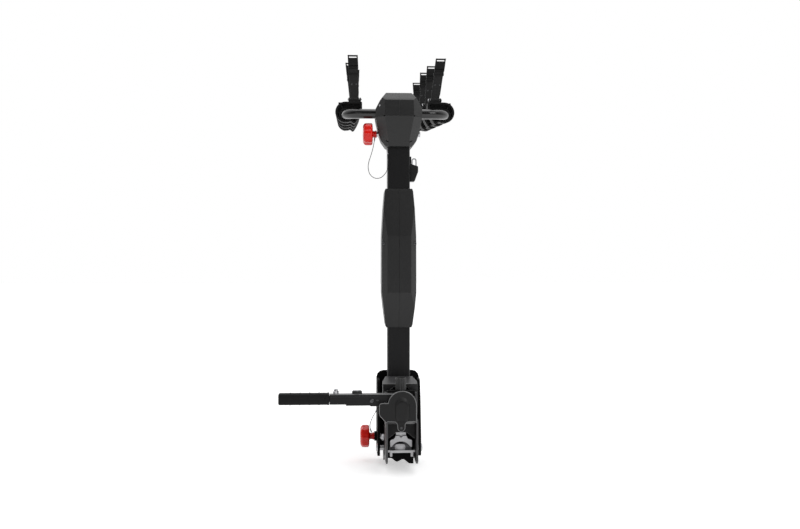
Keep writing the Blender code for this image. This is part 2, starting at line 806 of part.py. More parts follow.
def build_foot_bracket():
    """The U bracket that carries the mast: two legs outside the coupler's plates and a web behind the mast."""
    back = MAST_BACK + FIT
    legs = []
    for side in (-1, 1):
        low, high = sorted((side * LEG_OUTSIDE, side * (LEG_OUTSIDE - LEG_THICK)))
        legs.append(plate("leg", "YZ", rounded(LEG_CORNERS, 2), low, high))
    wide = LEG_OUTSIDE + WEB_LAP
    low = WEB_BOTTOM_Z + 0.003
    web_corners = [
        (-wide, low, 0.008),
        (wide, low, 0.008),
        (wide, 0.161, 0.016),
        (-wide, 0.161, 0.016),
    ]
    bracket = plate("web", "XZ", rounded(web_corners, 3), back, back + WEB_THICK)
    join(bracket, *legs)
    boss = rod(
        "boss",
        (-LEG_OUTSIDE - 0.006, LOWER_PIN_Y, LOWER_PIN_Z),
        (-LEG_OUTSIDE + 0.002, LOWER_PIN_Y, LOWER_PIN_Z),
        0.011,
    )
    join(bracket, boss)
    bolt_way = rod("way", (-0.06, TILT_Y, TILT_Z), (0.06, TILT_Y, TILT_Z), TILT_BOLT_RADIUS + RUNNING)
    pin_way = rod(
        "way", (-0.06, LOWER_PIN_Y, LOWER_PIN_Z), (0, LOWER_PIN_Y, LOWER_PIN_Z), PIN_RADIUS + SLIDE
    )
    cut(bracket, bolt_way, pin_way)
    cut(bracket, rod("way", (0, back - 0.01, BOLT_HEIGHT), (0, back + 0.02, BOLT_HEIGHT), BOLT_RADIUS + FIT, 12))
    return finish(bracket, "foot_bracket", BLACK_STEEL, 30)


def square_section(half, corner, steps=3):
    """A square outline round the mast's centre line."""
    low, high = MAST_Y - half, MAST_Y + half
    corners = [(-half, low, corner), (half, low, corner), (half, high, corner), (-half, high, corner)]
    return rounded(corners, steps)


def square_tube(name, half, wall, bottom, top):
    """A square tube on the mast's centre line."""
    inner = square_section(half - wall, 0.0025, 2)
    return plate(name, "XY", square_section(half, 0.0045), bottom, top, (inner,))


def build_mast_tubes():
    """The two mast tubes, the splice inside them and the bolt at the foot."""
    lower = square_tube("lower", MAST_HALF, MAST_WALL, MAST_BOTTOM, MAST_JOINT)
    upper = square_tube("upper", MAST_HALF, MAST_WALL, MAST_JOINT + FIT, MAST_TOP)
    splice = square_tube(
        "splice", MAST_HALF - MAST_WALL - FIT, 0.003, MAST_JOINT - 0.060, MAST_JOINT + 0.060
    )
    pin_way = rod("way", (-0.05, MAST_Y, UPPER_PIN_Z), (0.05, MAST_Y, UPPER_PIN_Z), PIN_RADIUS + SLIDE)
    cut(upper, pin_way)
    cut(lower, rod("way", (0, 0, BOLT_HEIGHT), (0, 0.2, BOLT_HEIGHT), BOLT_RADIUS + FIT, 12))
    front = MAST_FRONT - FIT
    back = MAST_BACK + 2 * FIT + WEB_THICK
    bolt = rod("bolt", (0, front - 0.004, BOLT_HEIGHT), (0, back + 0.005, BOLT_HEIGHT), BOLT_RADIUS, 12)
    join(bolt, rod("head", (0, front, BOLT_HEIGHT), (0, front - 0.005, BOLT_HEIGHT), 0.0075, 6))
    join(bolt, rod("nut", (0, back, BOLT_HEIGHT), (0, back + 0.006, BOLT_HEIGHT), 0.0075, 6))
    return [
        finish(lower, "mast_lower", SATIN_BLACK, 30),
        finish(upper, "mast_upper", SATIN_BLACK, 30),
        finish(splice, "mast_splice", BLACK_STEEL, 30),
        finish(bolt, "foot_bolt", BLACK_STEEL),
    ]


def hood_body(inset, bottom):
    """The hood's outer form, or with an inset its inside, which is open below and behind."""
    half = HOOD_HALF - inset
    front = HOOD_FRONT + inset
    back = MAST_FRONT - FIT + (0.02 if inset else 0)
    narrow = 0.0305 - inset
    plan = [
        (-half, front),
        (half, front),
        (half, 0.040),
        (narrow, MAST_FRONT - FIT),
        (narrow, back + 0.0001),
        (-narrow, back + 0.0001),
        (-narrow, MAST_FRONT - FIT),
        (-half, 0.040),
    ]
    if not inset:
        plan = [plan[0], plan[1], plan[2], plan[3], plan[6], plan[7]]
    body = plate("hood", "XY", plan, bottom, 0.165)
    slope = (0.153 - 0.1425) / (MAST_FRONT - HOOD_FRONT)
    top_front = 0.1425 - inset
    side = [
        (HOOD_FRONT - 0.01, bottom - 0.001),
        (HOOD_FRONT - 0.01, top_front - 0.01 * slope),
        (back + 0.01, top_front + (back + 0.01 - HOOD_FRONT) * slope),
        (back + 0.01, bottom - 0.001),
    ]
    return common(body, plate("side", "YZ", side, -0.06, 0.06))


def build_foot_hood():
    """The plastic hood in front of the mast's foot, with the arch that clears the lever's pivot."""
    hood = hood_body(0, 0.075)
    cut(hood, hood_body(HOOD_WALL, 0.060))
    arch = rod("arch", (0, 0, LEVER_Z), (0, 0.04, LEVER_Z), HOOD_ARCH, 40)
    room = HOOD_HALF - HOOD_WALL
    below = box("below", (-room, 0, 0.05), (room, 0.04, 0.1112))
    cut(hood, arch, below)
    return finish(hood, "foot_hood", BLACK_PLASTIC, 30)


MID_SECTIONS = (
    (MID_BOTTOM, 0.0283, 0.0263, 0.0700),
    (MID_BOTTOM + 0.006, 0.0304, 0.0284, 0.0680),
    (MID_BOTTOM + 0.029, 0.0333, 0.0313, 0.0603),
    (MID_BOTTOM + 0.066, 0.0372, 0.0288, 0.0480),
    (MID_BOTTOM + 0.084, 0.0389, 0.0288, 0.0480),
    (MID_TOP - 0.093, 0.0376, 0.0288, 0.0480),
    (MID_TOP - 0.075, 0.0368, 0.0288, 0.0480),
    (MID_TOP - 0.027, 0.0336, 0.0316, 0.0610),
    (MID_TOP, 0.0310, 0.0290, 0.0700),
)
SEAM_TRIM = 0.002
HEAD_UPPER_SECTIONS = (
    (HEAD_SEAM - SEAM_TRIM, 0.0520, 0.0320, 0.0430),
    (FOLD_Z + 0.007, 0.0520, 0.0320, 0.0435),
    (FOLD_Z + 0.022, 0.0430, 0.0320, 0.0460),
    (HEAD_TOP, 0.0295, 0.0220, 0.0700),
)
HEAD_LOWER_SECTIONS = (
    (HEAD_BOTTOM, 0.0285, 0.0270, 0.0690),
    (HEAD_BOTTOM + 0.018, 0.0420, 0.0290, 0.0600),
    (UPPER_PIN_Z, 0.0460, 0.0305, 0.0520),
    (HEAD_SEAM + SEAM_TRIM, 0.0520, 0.0320, 0.0430),
)


def section_ring(section):
    """Plan of a cover at one height, from half width, front facet's half width and the front's place."""
    height, wide, facet, front = section
    shoulder = min(front + 1.2 * (wide - facet), MAST_Y - 0.004)
    back = 2 * MAST_Y - front
    back_shoulder = 2 * MAST_Y - shoulder
    ring = [
        (-facet, front),
        (facet, front),
        (wide, shoulder),
        (wide, back_shoulder),
        (facet, back),
        (-facet, back),
        (-wide, back_shoulder),
        (-wide, shoulder),
    ]
    return [(x, y, height) for x, y in ring]


def mast_ring(height):
    """The square with small corners where a cover's end closes on the mast."""
    half = MAST_HALF + FIT
    return section_ring((height, half, half - 0.002, MAST_Y - half))


def half_ring(ring):
    """The part of a ring right of the centre plane, from edge to edge and still counterclockwise."""
    kept = ring[1:5]
    return [(FIT / 2, *kept[0][1:])] + kept + [(FIT / 2, *kept[-1][1:])]


def build_mid_cover():
    """The faceted cover round the middle of the mast, in two halves that meet on its centre line."""
    rings = [section_ring(section) for section in MID_SECTIONS]
    rings = [mast_ring(MID_BOTTOM)] + rings + [mast_ring(MID_TOP)]
    half = baked(solidify(skin("mid_cover", [half_ring(ring) for ring in rings], False), MID_WALL))
    mesh = half.data.copy()
    mesh.transform(Matrix.Scale(-1, 4, (1, 0, 0)))
    mesh.flip_normals()
    return [
        finish(half, "mid_cover_right", BLACK_PLASTIC),
        finish(add_object("mid_cover_left", mesh), "mid_cover_left", BLACK_PLASTIC),
    ]


def build_head():
    """The head: two cheeks beside the mast that hold the fold hub and the pin, under a cover in two parts."""
    parts = []
    for side, name in ((-1, "head_cheek_left"), (1, "head_cheek_right")):
        low, high = sorted((side * (MAST_HALF + FIT), side * (MAST_HALF + FIT + CHEEK_THICK)))
        corners = [
            (MAST_Y - 0.022, HEAD_BOTTOM + 0.008, 0.006),
            (MAST_Y + 0.022, HEAD_BOTTOM + 0.008, 0.006),
            (MAST_Y + 0.024, HEAD_TOP - 0.016, 0.012),
            (MAST_Y - 0.024, HEAD_TOP - 0.016, 0.012),
        ]
        hub_hole = circle((MAST_Y, FOLD_Z), HUB_RADIUS + RUNNING, 24)
        pin_hole = circle((MAST_Y, UPPER_PIN_Z), PIN_RADIUS + SLIDE, 16)
        cheek = plate("cheek", "YZ", rounded(corners), low, high, (hub_hole, pin_hole))
        parts.append(finish(cheek, name, BLACK_STEEL))
    upper = skin("upper", [section_ring(section) for section in HEAD_UPPER_SECTIONS], True, True)
    solidify(upper, HEAD_WALL)
    arm_way = rod("arm_way", (-0.08, MAST_Y, FOLD_Z), (0.08, MAST_Y, FOLD_Z), ARM_RADIUS + 0.001, 24)
    arm_gate = box(
        "arm_gate",
        (-0.08, MAST_Y - ARM_RADIUS - 0.001, HEAD_SEAM - 0.01),
        (0.08, MAST_Y + ARM_RADIUS + 0.001, FOLD_Z),
    )
    cut(upper, arm_way, arm_gate, box("trim", (-0.1, 0, HEAD_BOTTOM), (0.1, 0.2, HEAD_SEAM)))
    rings = [mast_ring(HEAD_LOWER_SECTIONS[0][0])] + [section_ring(part) for part in HEAD_LOWER_SECTIONS]
    lower = solidify(skin("lower", rings, True), HEAD_WALL)
    pin_way = rod("way", (-0.08, MAST_Y, UPPER_PIN_Z), (0.08, MAST_Y, UPPER_PIN_Z), PIN_RADIUS + 0.001)
    cut(lower, pin_way, box("trim", (-0.1, 0, HEAD_SEAM - FIT), (0.1, 0.2, HEAD_TOP)))
    parts.append(finish(upper, "head_cover_upper", BLACK_PLASTIC))
    parts.append(finish(lower, "head_cover_lower", BLACK_PLASTIC))
    return parts


ANCHOR_HALF = 0.012
BAIL_PLACES = (0.0315, 0.0405)


def build_cable_anchor():
    """The lock cable's anchor on the mast's right side, with its wire bail."""
    inner = MAST_HALF + FIT
    outline = [
        (inner, ANCHOR_TOP - 0.056),
        (0.0364, ANCHOR_TOP - 0.056),
        (0.0445, ANCHOR_TOP - 0.034),
        (0.0445, ANCHOR_TOP - 0.022),
        (0.0290, ANCHOR_TOP - 0.017),
        (0.0290, ANCHOR_TOP),
        (inner, ANCHOR_TOP),
    ]
    anchor = plate("anchor", "XZ", outline, MAST_Y - ANCHOR_HALF, MAST_Y + ANCHOR_HALF)
    soften(anchor, 0.0012)
    wire = 0.0014
    centre = (sum(BAIL_PLACES) / 2, ANCHOR_TOP - 0.0085)
    foot = ANCHOR_TOP - 0.028
    reach = (BAIL_PLACES[1] - BAIL_PLACES[0]) / 2
    bow = [(BAIL_PLACES[1], foot)] + arc(centre, reach, 0, 180, 10) + [(BAIL_PLACES[0], foot)]
    bail = tube("bail", [(x, MAST_Y, z) for x, z in bow], wire, 1)
    for place in BAIL_PLACES:
        cut(anchor, rod("way", (place, MAST_Y, foot - 2 * FIT), (place, MAST_Y, ANCHOR_TOP), wire + FIT, 10))
    return [finish(anchor, "cable_anchor", BLACK_PLASTIC), finish(bail, "anchor_bail", BRIGHT_STEEL, 40)]


def build_mast():
    """The mast body, carried on the tilt bolt."""
    parts = [build_foot_bracket(), build_foot_hood()] + build_mast_tubes()
    parts += build_mid_cover() + build_head() + build_cable_anchor()
    carry(pivot("tilt_axis", (0, TILT_Y, TILT_Z)), parts)
    return parts


def knob_outline(centre, radius):
    """A knob's eight soft lobes."""
    lobes = 8
    steps = 4 * lobes
    outline = []
    for i in range(steps):
        angle = 2 * math.pi * i / steps
        reach = radius - 0.0022 * (1 - math.cos(lobes * angle)) / 2
        outline.append((centre[0] + reach * math.cos(angle), centre[1] + reach * math.sin(angle)))
    return outline


UPPER_KNOB_SPAN = (-0.080, -0.058)
UPPER_NECK_END = -0.0490
UPPER_PIN_END = 0.0500
LOWER_KNOB_SPAN = (-0.086, -0.0655)
LOWER_PIN_END = -0.0265
BOSS_REACH = 0.006


def build_pull_pin(name, centre, radius, knob_span, neck_end, pin_end):
    """A red knob on a steel pin that pulls out to the left, both on one slide."""
    outer, inner = knob_span
    y, z = centre
    knob = plate("knob", "YZ", knob_outline(centre, radius), outer, inner)
    soften(knob, 0.0028, 1, 50)
    join(knob, rod("neck", (inner - 0.002, y, z), (neck_end, y, z), 0.0085, 16, 0.0075))
    depth = outer + 0.010
    cut(knob, rod("bore", (depth, y, z), (neck_end + 0.01, y, z), PIN_RADIUS + FIT))
    pin = rod("pin", (depth + FIT, y, z), (pin_end, y, z), PIN_RADIUS)
    soften(pin, 0.001, 1, 50)
    parts = [
        finish(knob, name + "_knob", RED_PLASTIC, 30),
        finish(pin, name + "_pin", BRIGHT_STEEL, 30),
    ]
    slide = pivot(name + "_slide", (neck_end, y, z))
    carry(slide, parts)
    return slide


def smooth_route(points, spacing):
    """Points at equal steps along a smooth curve through the route's points."""
    places = [Vector(point) for point in points]
    fine = []
    for i in range(len(places) - 1):
        before = places[max(i - 1, 0)]
        after = places[min(i + 2, len(places) - 1)]
        here, there = places[i], places[i + 1]
        for k in range(20):
            t = k / 20
            fine.append(
                0.5
                * (
                    2 * here
                    + (there - before) * t
                    + (2 * before - 5 * here + 4 * there - after) * t**2
                    + (3 * here - before - 3 * there + after) * t**3
                )
            )
    fine.append(places[-1])
    route = [fine[0]]
    walked = 0
    for here, there in zip(fine, fine[1:]):
        walked += (there - here).length
        if walked >= spacing:
            route.append(there)
            walked = 0
    route[-1] = fine[-1]
    return route


UPPER_LANYARD = (
    (-0.0532, 0.0935, -0.0067),
    (-0.0550, 0.0850, -0.0200),
    (-0.0580, 0.0770, -0.0350),
    (-0.0625, 0.0710, -0.0510),
    (-0.0672, 0.0675, -0.0660),
    (-0.0687, 0.0660, -0.0786),
    (-0.0658, 0.0655, -0.0915),
    (-0.0593, 0.0655, -0.0993),
    (-0.0500, 0.0655, -0.1027),
    (-0.0397, 0.0655, -0.1004),
    (-0.0306, 0.0660, -0.0915),
    (-0.0260, 0.0665, -0.0815),
    (-0.0245, 0.0675, -0.0636),
    (-0.0252, 0.0690, -0.0520),
    (-0.0268, 0.0705, -0.0374),
)
LOWER_LANYARD = (
    (-0.0601, 0.1042, 0.0082),
    (-0.0632, 0.1010, 0.0170),
    (-0.0640, 0.0970, 0.0260),
    (-0.0622, 0.0940, 0.0345),
    (-0.0590, 0.0910, 0.0430),
    (-0.0545, 0.0880, 0.0520),
    (-0.0510, 0.0860, 0.0585),
    (-0.0490, 0.0850, 0.0650),
)


def build_locks():
    """The two pull pins and the wire lanyards that keep them."""
    upper = build_pull_pin(
        "upper_lock", (MAST_Y, UPPER_PIN_Z), UPPER_KNOB_RADIUS, UPPER_KNOB_SPAN, UPPER_NECK_END, UPPER_PIN_END
    )
    lower = build_pull_pin(
        "lower_lock",
        (LOWER_PIN_Y, LOWER_PIN_Z),
        LOWER_KNOB_RADIUS,
        LOWER_KNOB_SPAN,
        -LEG_OUTSIDE - BOSS_REACH - FIT,
        LOWER_PIN_END,
    )
    riders = [upper, lower]
    lanyards = (("upper_lanyard", UPPER_LANYARD, UPPER_PIN_Z), ("lower_lanyard", LOWER_LANYARD, LOWER_PIN_Z))
    for name, drops, pin_z in lanyards:
        route = [(x, y, pin_z + rise) for x, y, rise in drops]
        wire = tube(name, smooth_route(route, 8 * LANYARD_RADIUS), LANYARD_RADIUS, 1)
        riders.append(finish(wire, name, BRIGHT_STEEL, 40))
    return riders


def index_outline():
    """The hub's index plate: a low edge that passes the pin, between the two shoulders that stop on it."""
    centre = (MAST_Y, FOLD_Z)
    low = PIN_REACH - PIN_RADIUS - 0.0007
    high = PIN_REACH + 0.0005
    shoulder = math.degrees(math.asin((PIN_RADIUS + SLIDE) / PIN_REACH))
    start = 270 - shoulder
    end = 270 + math.degrees(FOLD_OPEN) + shoulder
    outline = arc(centre, high, start - 12, start, 3)
    outline += arc(centre, low, start, end, 14)
    outline += arc(centre, high, end, end + 12, 3)
    return outline + arc(centre, HUB_RADIUS + 0.006, end + 12, start + 348, 8)


def arm_line(side):
    """Where the arm runs: its place across, its start on the cross tube's axis and its direction."""
    across = side * ARM_HALF_SPACING + ARM_SHIFT
    return across, Vector((across, MAST_Y, FOLD_Z)), Vector((0, math.cos(ARM_RISE), math.sin(ARM_RISE)))


def build_arm_tube(side):
    """One arm: across from the hub, round the bend and out to its end."""
    across, corner, along = arm_line(side)
    outward = Vector((side, 0, 0))
    centre = corner - outward * ARM_BEND + along * ARM_BEND
    points = [(side * FIT, MAST_Y, FOLD_Z)]
    steps = 8
    for i in range(steps + 1):
        angle = math.pi / 2 * i / steps
        points.append(centre + ARM_BEND * (outward * math.sin(angle) - along * math.cos(angle)))
    points.append(corner + along * ARM_LENGTH)
    return tube("arm", [tuple(point) for point in points], ARM_RADIUS, 3)


CRADLE_TOP = 0.030
CRADLE_RING = 0.025
CRADLE_HALF = 0.028
POCKET_DEPTH = 0.011
TROUGH_RADIUS = 0.019
HINGE_UP = 0.0355
HINGE_BACK = -0.020
STRAP_INWARD = 0.0210
BARREL_RADIUS = 0.0042
HINGE_PIN_RADIUS = 0.0018


def cradle_outline(inset):
    """Front view of a cradle about the arm's axis, inwards and up, with the anti-sway tip below."""
    ring = arc((0, CRADLE_TOP - CRADLE_RING), CRADLE_RING - inset, 90, 262, 6)
    top = CRADLE_TOP - inset
    inner = 0.038 - inset
    if inset:
        return ring + [(0.012, -0.020 + inset), (inner - 0.006, 0.004), (inner, 0.015), (inner, top)]
    tip = [(0.010, -0.0205), (0.017, -0.034), (0.021, -0.036), (0.025, -0.030), (0.032, -0.007)]
    return ring + tip + [(inner, 0.013), (inner, top - 0.003), (inner - 0.003, top)]


def cradle_form(side):
    """A cradle about the origin: a moulded block with pocketed ends, the arm's bore, a trough and the hinge ears."""
    flip = -side
    block = plate("cradle", "XZ", [(flip * a, b) for a, b in cradle_outline(0)], -CRADLE_HALF, CRADLE_HALF)
    inside = [(flip * a, b) for a, b in cradle_outline(CRADLE_SKIN)]
    for end in (-1, 1):
        low, high = sorted((end * (CRADLE_HALF - POCKET_DEPTH), end * (CRADLE_HALF + 0.01)))
        cut(block, plate("pocket", "XZ", inside, low, high))
    boss_half = CRADLE_HALF - 0.001
    join(block, rod("boss", (0, -boss_half, 0), (0, boss_half, 0), ARM_RADIUS + 0.004, 12))
    trough_up = CRADLE_TOP + 0.009
    cut(block, rod("trough", (-0.06, 0, trough_up), (0.06, 0, trough_up), TROUGH_RADIUS, 12))
    middle = flip * STRAP_INWARD
    reach = STRAP_WIDTH / 2 + 0.0008
    for end in (-1, 1):
        low, high = sorted((middle + end * reach, middle + end * (reach + 0.003)))
        ear = plate(
            "ear",
            "YZ",
            [(HINGE_BACK - 0.0045, CRADLE_TOP - 0.001), (HINGE_BACK + 0.0045, CRADLE_TOP - 0.001)]
            + arc((HINGE_BACK, HINGE_UP), 0.004, 0, 180, 3),
            low,
            high,
        )
        join(block, ear)
    half_pin = reach + 0.002
    pin = rod(
        "hinge_pin",
        (middle - half_pin, HINGE_BACK, HINGE_UP),
        (middle + half_pin, HINGE_BACK, HINGE_UP),
        HINGE_PIN_RADIUS,
        8,
    )
    join(block, pin)
    cut(block, rod("arm_bore", (0, -0.05, 0), (0, 0.05, 0), ARM_RADIUS + 2 * FIT, 12))
    return baked(block)


STRAPS = {-1: (0.140, math.radians(2.7)), 1: (0.131, math.radians(7.7))}
BUCKLE_HEIGHT = 0.035
BUCKLE_WIDTH = 0.0226
BUCKLE_THICK = 0.0085


def strap_form(side):
    """A strap about its hinge at the origin: eye, leaning tongue and the buckle with its window."""
    height, lean = STRAPS[side]
    rise = height - HINGE_UP
    slope = side * math.tan(lean)

    def leaning(width, low, high):
        return [
            (slope * low - width / 2, low),
            (slope * low + width / 2, low),
            (slope * high + width / 2, high),
            (slope * high - width / 2, high),
        ]

    buckle_low = rise - BUCKLE_HEIGHT
    tongue = plate("strap", "XZ", leaning(STRAP_WIDTH, 0.001, rise - 0.01), -STRAP_THICK / 2, STRAP_THICK / 2)
    eye = rod("eye", (-STRAP_WIDTH / 2, 0, 0), (STRAP_WIDTH / 2, 0, 0), BARREL_RADIUS, 12)
    buckle = plate(
        "buckle", "XZ", leaning(BUCKLE_WIDTH, buckle_low, rise), -BUCKLE_THICK + STRAP_THICK, STRAP_THICK
    )
    soften(buckle, 0.0012)
    join(tongue, eye, buckle)
    window = plate("window", "XZ", leaning(0.018, rise - 0.0078, rise - 0.0040), -0.02, 0.02)
    waist = plate("waist", "XZ", leaning(0.03, buckle_low + 0.007, buckle_low + 0.012), -0.02, -STRAP_THICK / 2 - 0.001)
    bore = rod("bore", (-0.02, 0, 0), (0.02, 0, 0), HINGE_PIN_RADIUS + RUNNING, 8)
    cut(tongue, window, waist, bore)
    return baked(tongue)


def copy_of(form, name, look, round_angle=None):
    """A part that shares the form but has its own mesh."""
    return finish(add_object(name, form.data.copy()), name, look, round_angle)


def build_arms():
    """The folding body: hub with its index plate, the arms, their caps and the cradles with their straps."""
    hub = rod("hub", (-HUB_HALF, MAST_Y, FOLD_Z), (HUB_HALF, MAST_Y, FOLD_Z), HUB_RADIUS, 24)
    inner = -(MAST_HALF + FIT + CHEEK_THICK + FIT)
    join(hub, plate("index", "YZ", index_outline(), inner - INDEX_THICK, inner))
    cut(hub, rod("bore", (-0.1, MAST_Y, FOLD_Z), (0.1, MAST_Y, FOLD_Z), ARM_RADIUS + FIT, 24))
    folding = [finish(hub, "arm_hub", BRIGHT_STEEL, 30)]
    fold_axis = pivot("fold_axis", (0, MAST_Y, FOLD_Z))
    for side, word in ((-1, "left"), (1, "right")):
        across, corner, along = arm_line(side)
        folding.append(finish(build_arm_tube(side), f"arm_{word}", GLOSS_BLACK, 40))
        end = corner + along * (ARM_LENGTH + FIT)
        cap = rod("cap", end - along * CAP_DEPTH, end + along * 0.003, ARM_RADIUS + 0.002, 20)
        soften(cap, 0.001)
        cut(cap, rod("cap_room", end - along * 0.05, end, ARM_RADIUS + FIT, 20))
        folding.append(finish(cap, f"arm_cap_{word}", SOFT_BLACK, 30))
        cradle = cradle_form(side)
        strap = strap_form(side)
        for k in range(CRADLES):
            place = corner + along * (CRADLE_FIRST + k * CRADLE_PITCH)
            part = copy_of(cradle, f"cradle_{word}_{k + 1}", SOFT_BLACK)
            part.rotation_euler = (ARM_RISE, 0, 0)
            part.location = place
            folding.append(part)
            turn = Matrix.Rotation(ARM_RISE, 3, "X")
            hinge = place + turn @ Vector((-side * STRAP_INWARD, HINGE_BACK, HINGE_UP))
            tongue = copy_of(strap, f"strap_{word}_{k + 1}", SOFT_BLACK)
            tongue.rotation_euler = (ARM_RISE, 0, 0)
            tongue.location = hinge
            strap_axis = pivot(f"strap_axis_{word}_{k + 1}", hinge)
            carry(strap_axis, [tongue])
            folding.append(strap_axis)
    carry(fold_axis, folding)
    return fold_axis


def main():
    """Build the whole rack."""
    clear_scene()
    new_collection("ball_clamp_bike_rack", True)
    new_collection("helpers", False)
    build_coupler()
    build_jaw()
    build_adjuster()
    build_lever()
    build_mast()
    riders = build_locks() + [build_arms()]
    carry(bpy.data.objects["tilt_axis"], riders)


if __name__ == "__main__":
    main()
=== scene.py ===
"""Dressed model of the hanging rack that clamps on a tow ball.

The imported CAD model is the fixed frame. Each sub-assembly class shapes its visible pieces around it,
in metres and in the same frame: the origin is the ball's centre, +Y runs out along the arms, +Z is up.
"""

import json
import logging
import math
from collections.abc import Callable, Iterator, Sequence
from dataclasses import dataclass, field
from enum import Enum

import bmesh
import bpy
from mathutils import Matrix, Vector


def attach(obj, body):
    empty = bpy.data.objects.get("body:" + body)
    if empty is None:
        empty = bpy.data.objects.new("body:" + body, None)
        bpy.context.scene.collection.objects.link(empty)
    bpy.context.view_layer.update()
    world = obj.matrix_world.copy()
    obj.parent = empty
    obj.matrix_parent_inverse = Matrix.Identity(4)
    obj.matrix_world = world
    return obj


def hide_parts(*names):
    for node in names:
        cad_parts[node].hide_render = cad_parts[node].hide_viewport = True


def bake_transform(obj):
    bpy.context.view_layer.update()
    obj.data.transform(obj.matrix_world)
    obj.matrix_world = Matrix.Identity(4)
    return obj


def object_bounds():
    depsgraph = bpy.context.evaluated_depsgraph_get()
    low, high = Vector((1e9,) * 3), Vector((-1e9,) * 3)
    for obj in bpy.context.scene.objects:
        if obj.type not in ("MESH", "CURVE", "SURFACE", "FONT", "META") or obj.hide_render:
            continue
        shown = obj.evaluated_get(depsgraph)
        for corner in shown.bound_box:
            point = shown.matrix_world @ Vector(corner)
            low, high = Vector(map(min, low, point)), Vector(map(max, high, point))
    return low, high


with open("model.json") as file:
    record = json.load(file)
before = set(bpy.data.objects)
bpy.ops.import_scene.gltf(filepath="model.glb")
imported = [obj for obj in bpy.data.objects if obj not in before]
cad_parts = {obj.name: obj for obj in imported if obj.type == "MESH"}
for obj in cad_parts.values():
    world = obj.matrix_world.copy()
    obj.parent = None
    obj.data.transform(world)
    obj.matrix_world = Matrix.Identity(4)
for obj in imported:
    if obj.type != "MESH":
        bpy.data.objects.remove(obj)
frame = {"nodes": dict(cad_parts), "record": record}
CAD_BOX = [list(corner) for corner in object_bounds()]
LOG = logging.getLogger("rack")

Point = Sequence[float]
Pair = tuple[float, float]
Triple = tuple[float, float, float]
Outline = list[Pair]
Piece = bpy.types.Object
Tree = bpy.types.NodeTree
Socket = bpy.types.NodeSocket
Test = Callable[[Vector, Vector], bool]

MERGE = 2e-6
ON_LEVEL = 1e-5
FULL = 2 * math.pi
UP = (0, 0, 1)
FORWARD = (0, -1, 0)
ENDS = (-1, 1)


class Plane(Enum):
    """The plane that an outline is drawn in, by its two axes in order and the axis of its depth."""

    YZ = (1, 2, 0)
    XZ = (0, 2, 1)

    def point(self, a: float, b: float, depth: float) -> Vector:
        """Give the place of outline point (a, b) at this depth.

        Args:
            a: The outline point's first coordinate.
            b: Its second coordinate.
            depth: Its place on the third axis.

        Returns:
            The point.
        """
        place = [0.0, 0.0, 0.0]
        for axis, value in zip(self.value, (a, b, depth)):
            place[axis] = value
        return Vector(place)


class Side(Enum):
    """A side of the rack, by its direction across."""

    LEFT = -1
    RIGHT = 1

    @property
    def word(self) -> str:
        """The side's word in the names of nodes and pieces."""
        return self.name.lower()


def done() -> None:
    """Leave edit mode."""
    bpy.ops.object.mode_set(mode="OBJECT")


def only(obj: Piece, mode: str = "OBJECT") -> None:
    """Select this object alone, make it the active one and enter this mode.

    Args:
        obj: The object.
        mode: The mode to enter.
    """
    if bpy.context.mode != "OBJECT":
        done()
    bpy.ops.object.select_all(action="DESELECT")
    obj.select_set(True)
    bpy.context.view_layer.objects.active = obj
    bpy.ops.object.mode_set(mode=mode)


def settled(obj: Piece, name: str) -> Piece:
    """Name the piece and move its place into its mesh.

    Args:
        obj: The piece.
        name: The name of it and its mesh.

    Returns:
        The piece.
    """
    only(obj)
    bpy.ops.object.transform_apply(location=True, rotation=True, scale=True)
    obj.name = obj.data.name = name
    return obj


def removed(*pieces: Piece) -> None:
    """Remove pieces that were only needed to make others."""
    for piece in pieces:
        bpy.data.objects.remove(piece, do_unlink=True)


def slab(name: str, low: Point, high: Point) -> Piece:
    """Add a block between its lowest and its highest corner.

    Args:
        name: The block's name.
        low: Its lowest corner.
        high: Its highest corner.

    Returns:
        The block.
    """
    middle = (Vector(low) + Vector(high)) / 2
    bpy.ops.mesh.primitive_cube_add(size=1, location=middle, scale=Vector(high) - Vector(low))
    return settled(bpy.context.object, name)


def barrel(name: str, start: Point, end: Point, radius: float, sides: int = 48) -> Piece:
    """Add a round bar between the centres of its ends.

    Args:
        name: The bar's name.
        start: Centre of one end.
        end: Centre of the other end.
        radius: Its radius.
        sides: Number of sides round it.

    Returns:
        The bar.
    """
    run = Vector(end) - Vector(start)
    bpy.ops.mesh.primitive_cone_add(
        vertices=sides, radius1=radius, radius2=radius, depth=run.length,
        location=(Vector(start) + Vector(end)) / 2, rotation=run.to_track_quat("Z", "Y").to_euler(),
    )
    return settled(bpy.context.object, name)


def loft(name: str, rings: Sequence[Sequence[Point]]) -> Piece:
    """Extrude a first ring through further rings of as many points, and close both ends.

    Args:
        name: The piece's name.
        rings: The rings in order, each a closed loop of points.

    Returns:
        The piece, its faces outwards.
    """
    bpy.ops.mesh.primitive_circle_add(vertices=len(rings[0]), radius=0.01, fill_type="NOTHING")
    obj = bpy.context.object
    only(obj, "EDIT")
    bpy.ops.mesh.select_mode(type="EDGE")
    bpy.ops.mesh.select_all(action="SELECT")
    line = list(range(len(rings[0])))
    for turn, ring in enumerate(rings):
        if turn:
            bpy.ops.mesh.extrude_region_move()
        shape = bmesh.from_edit_mesh(obj.data)
        shape.verts.ensure_lookup_table()
        if turn:
            shape.verts.index_update()
            line = [new_neighbour(shape.verts[index]) for index in line]
        for index, place in zip(line, ring):
            shape.verts[index].co = place
        bmesh.update_edit_mesh(obj.data)
    bpy.ops.mesh.edge_face_add()
    bpy.ops.mesh.select_all(action="DESELECT")
    bpy.ops.mesh.select_non_manifold(extend=False)
    bpy.ops.mesh.edge_face_add()
    bpy.ops.mesh.select_all(action="SELECT")
    bpy.ops.mesh.remove_doubles(threshold=MERGE)
    bpy.ops.mesh.normals_make_consistent(inside=False)
    done()
    return settled(obj, name)


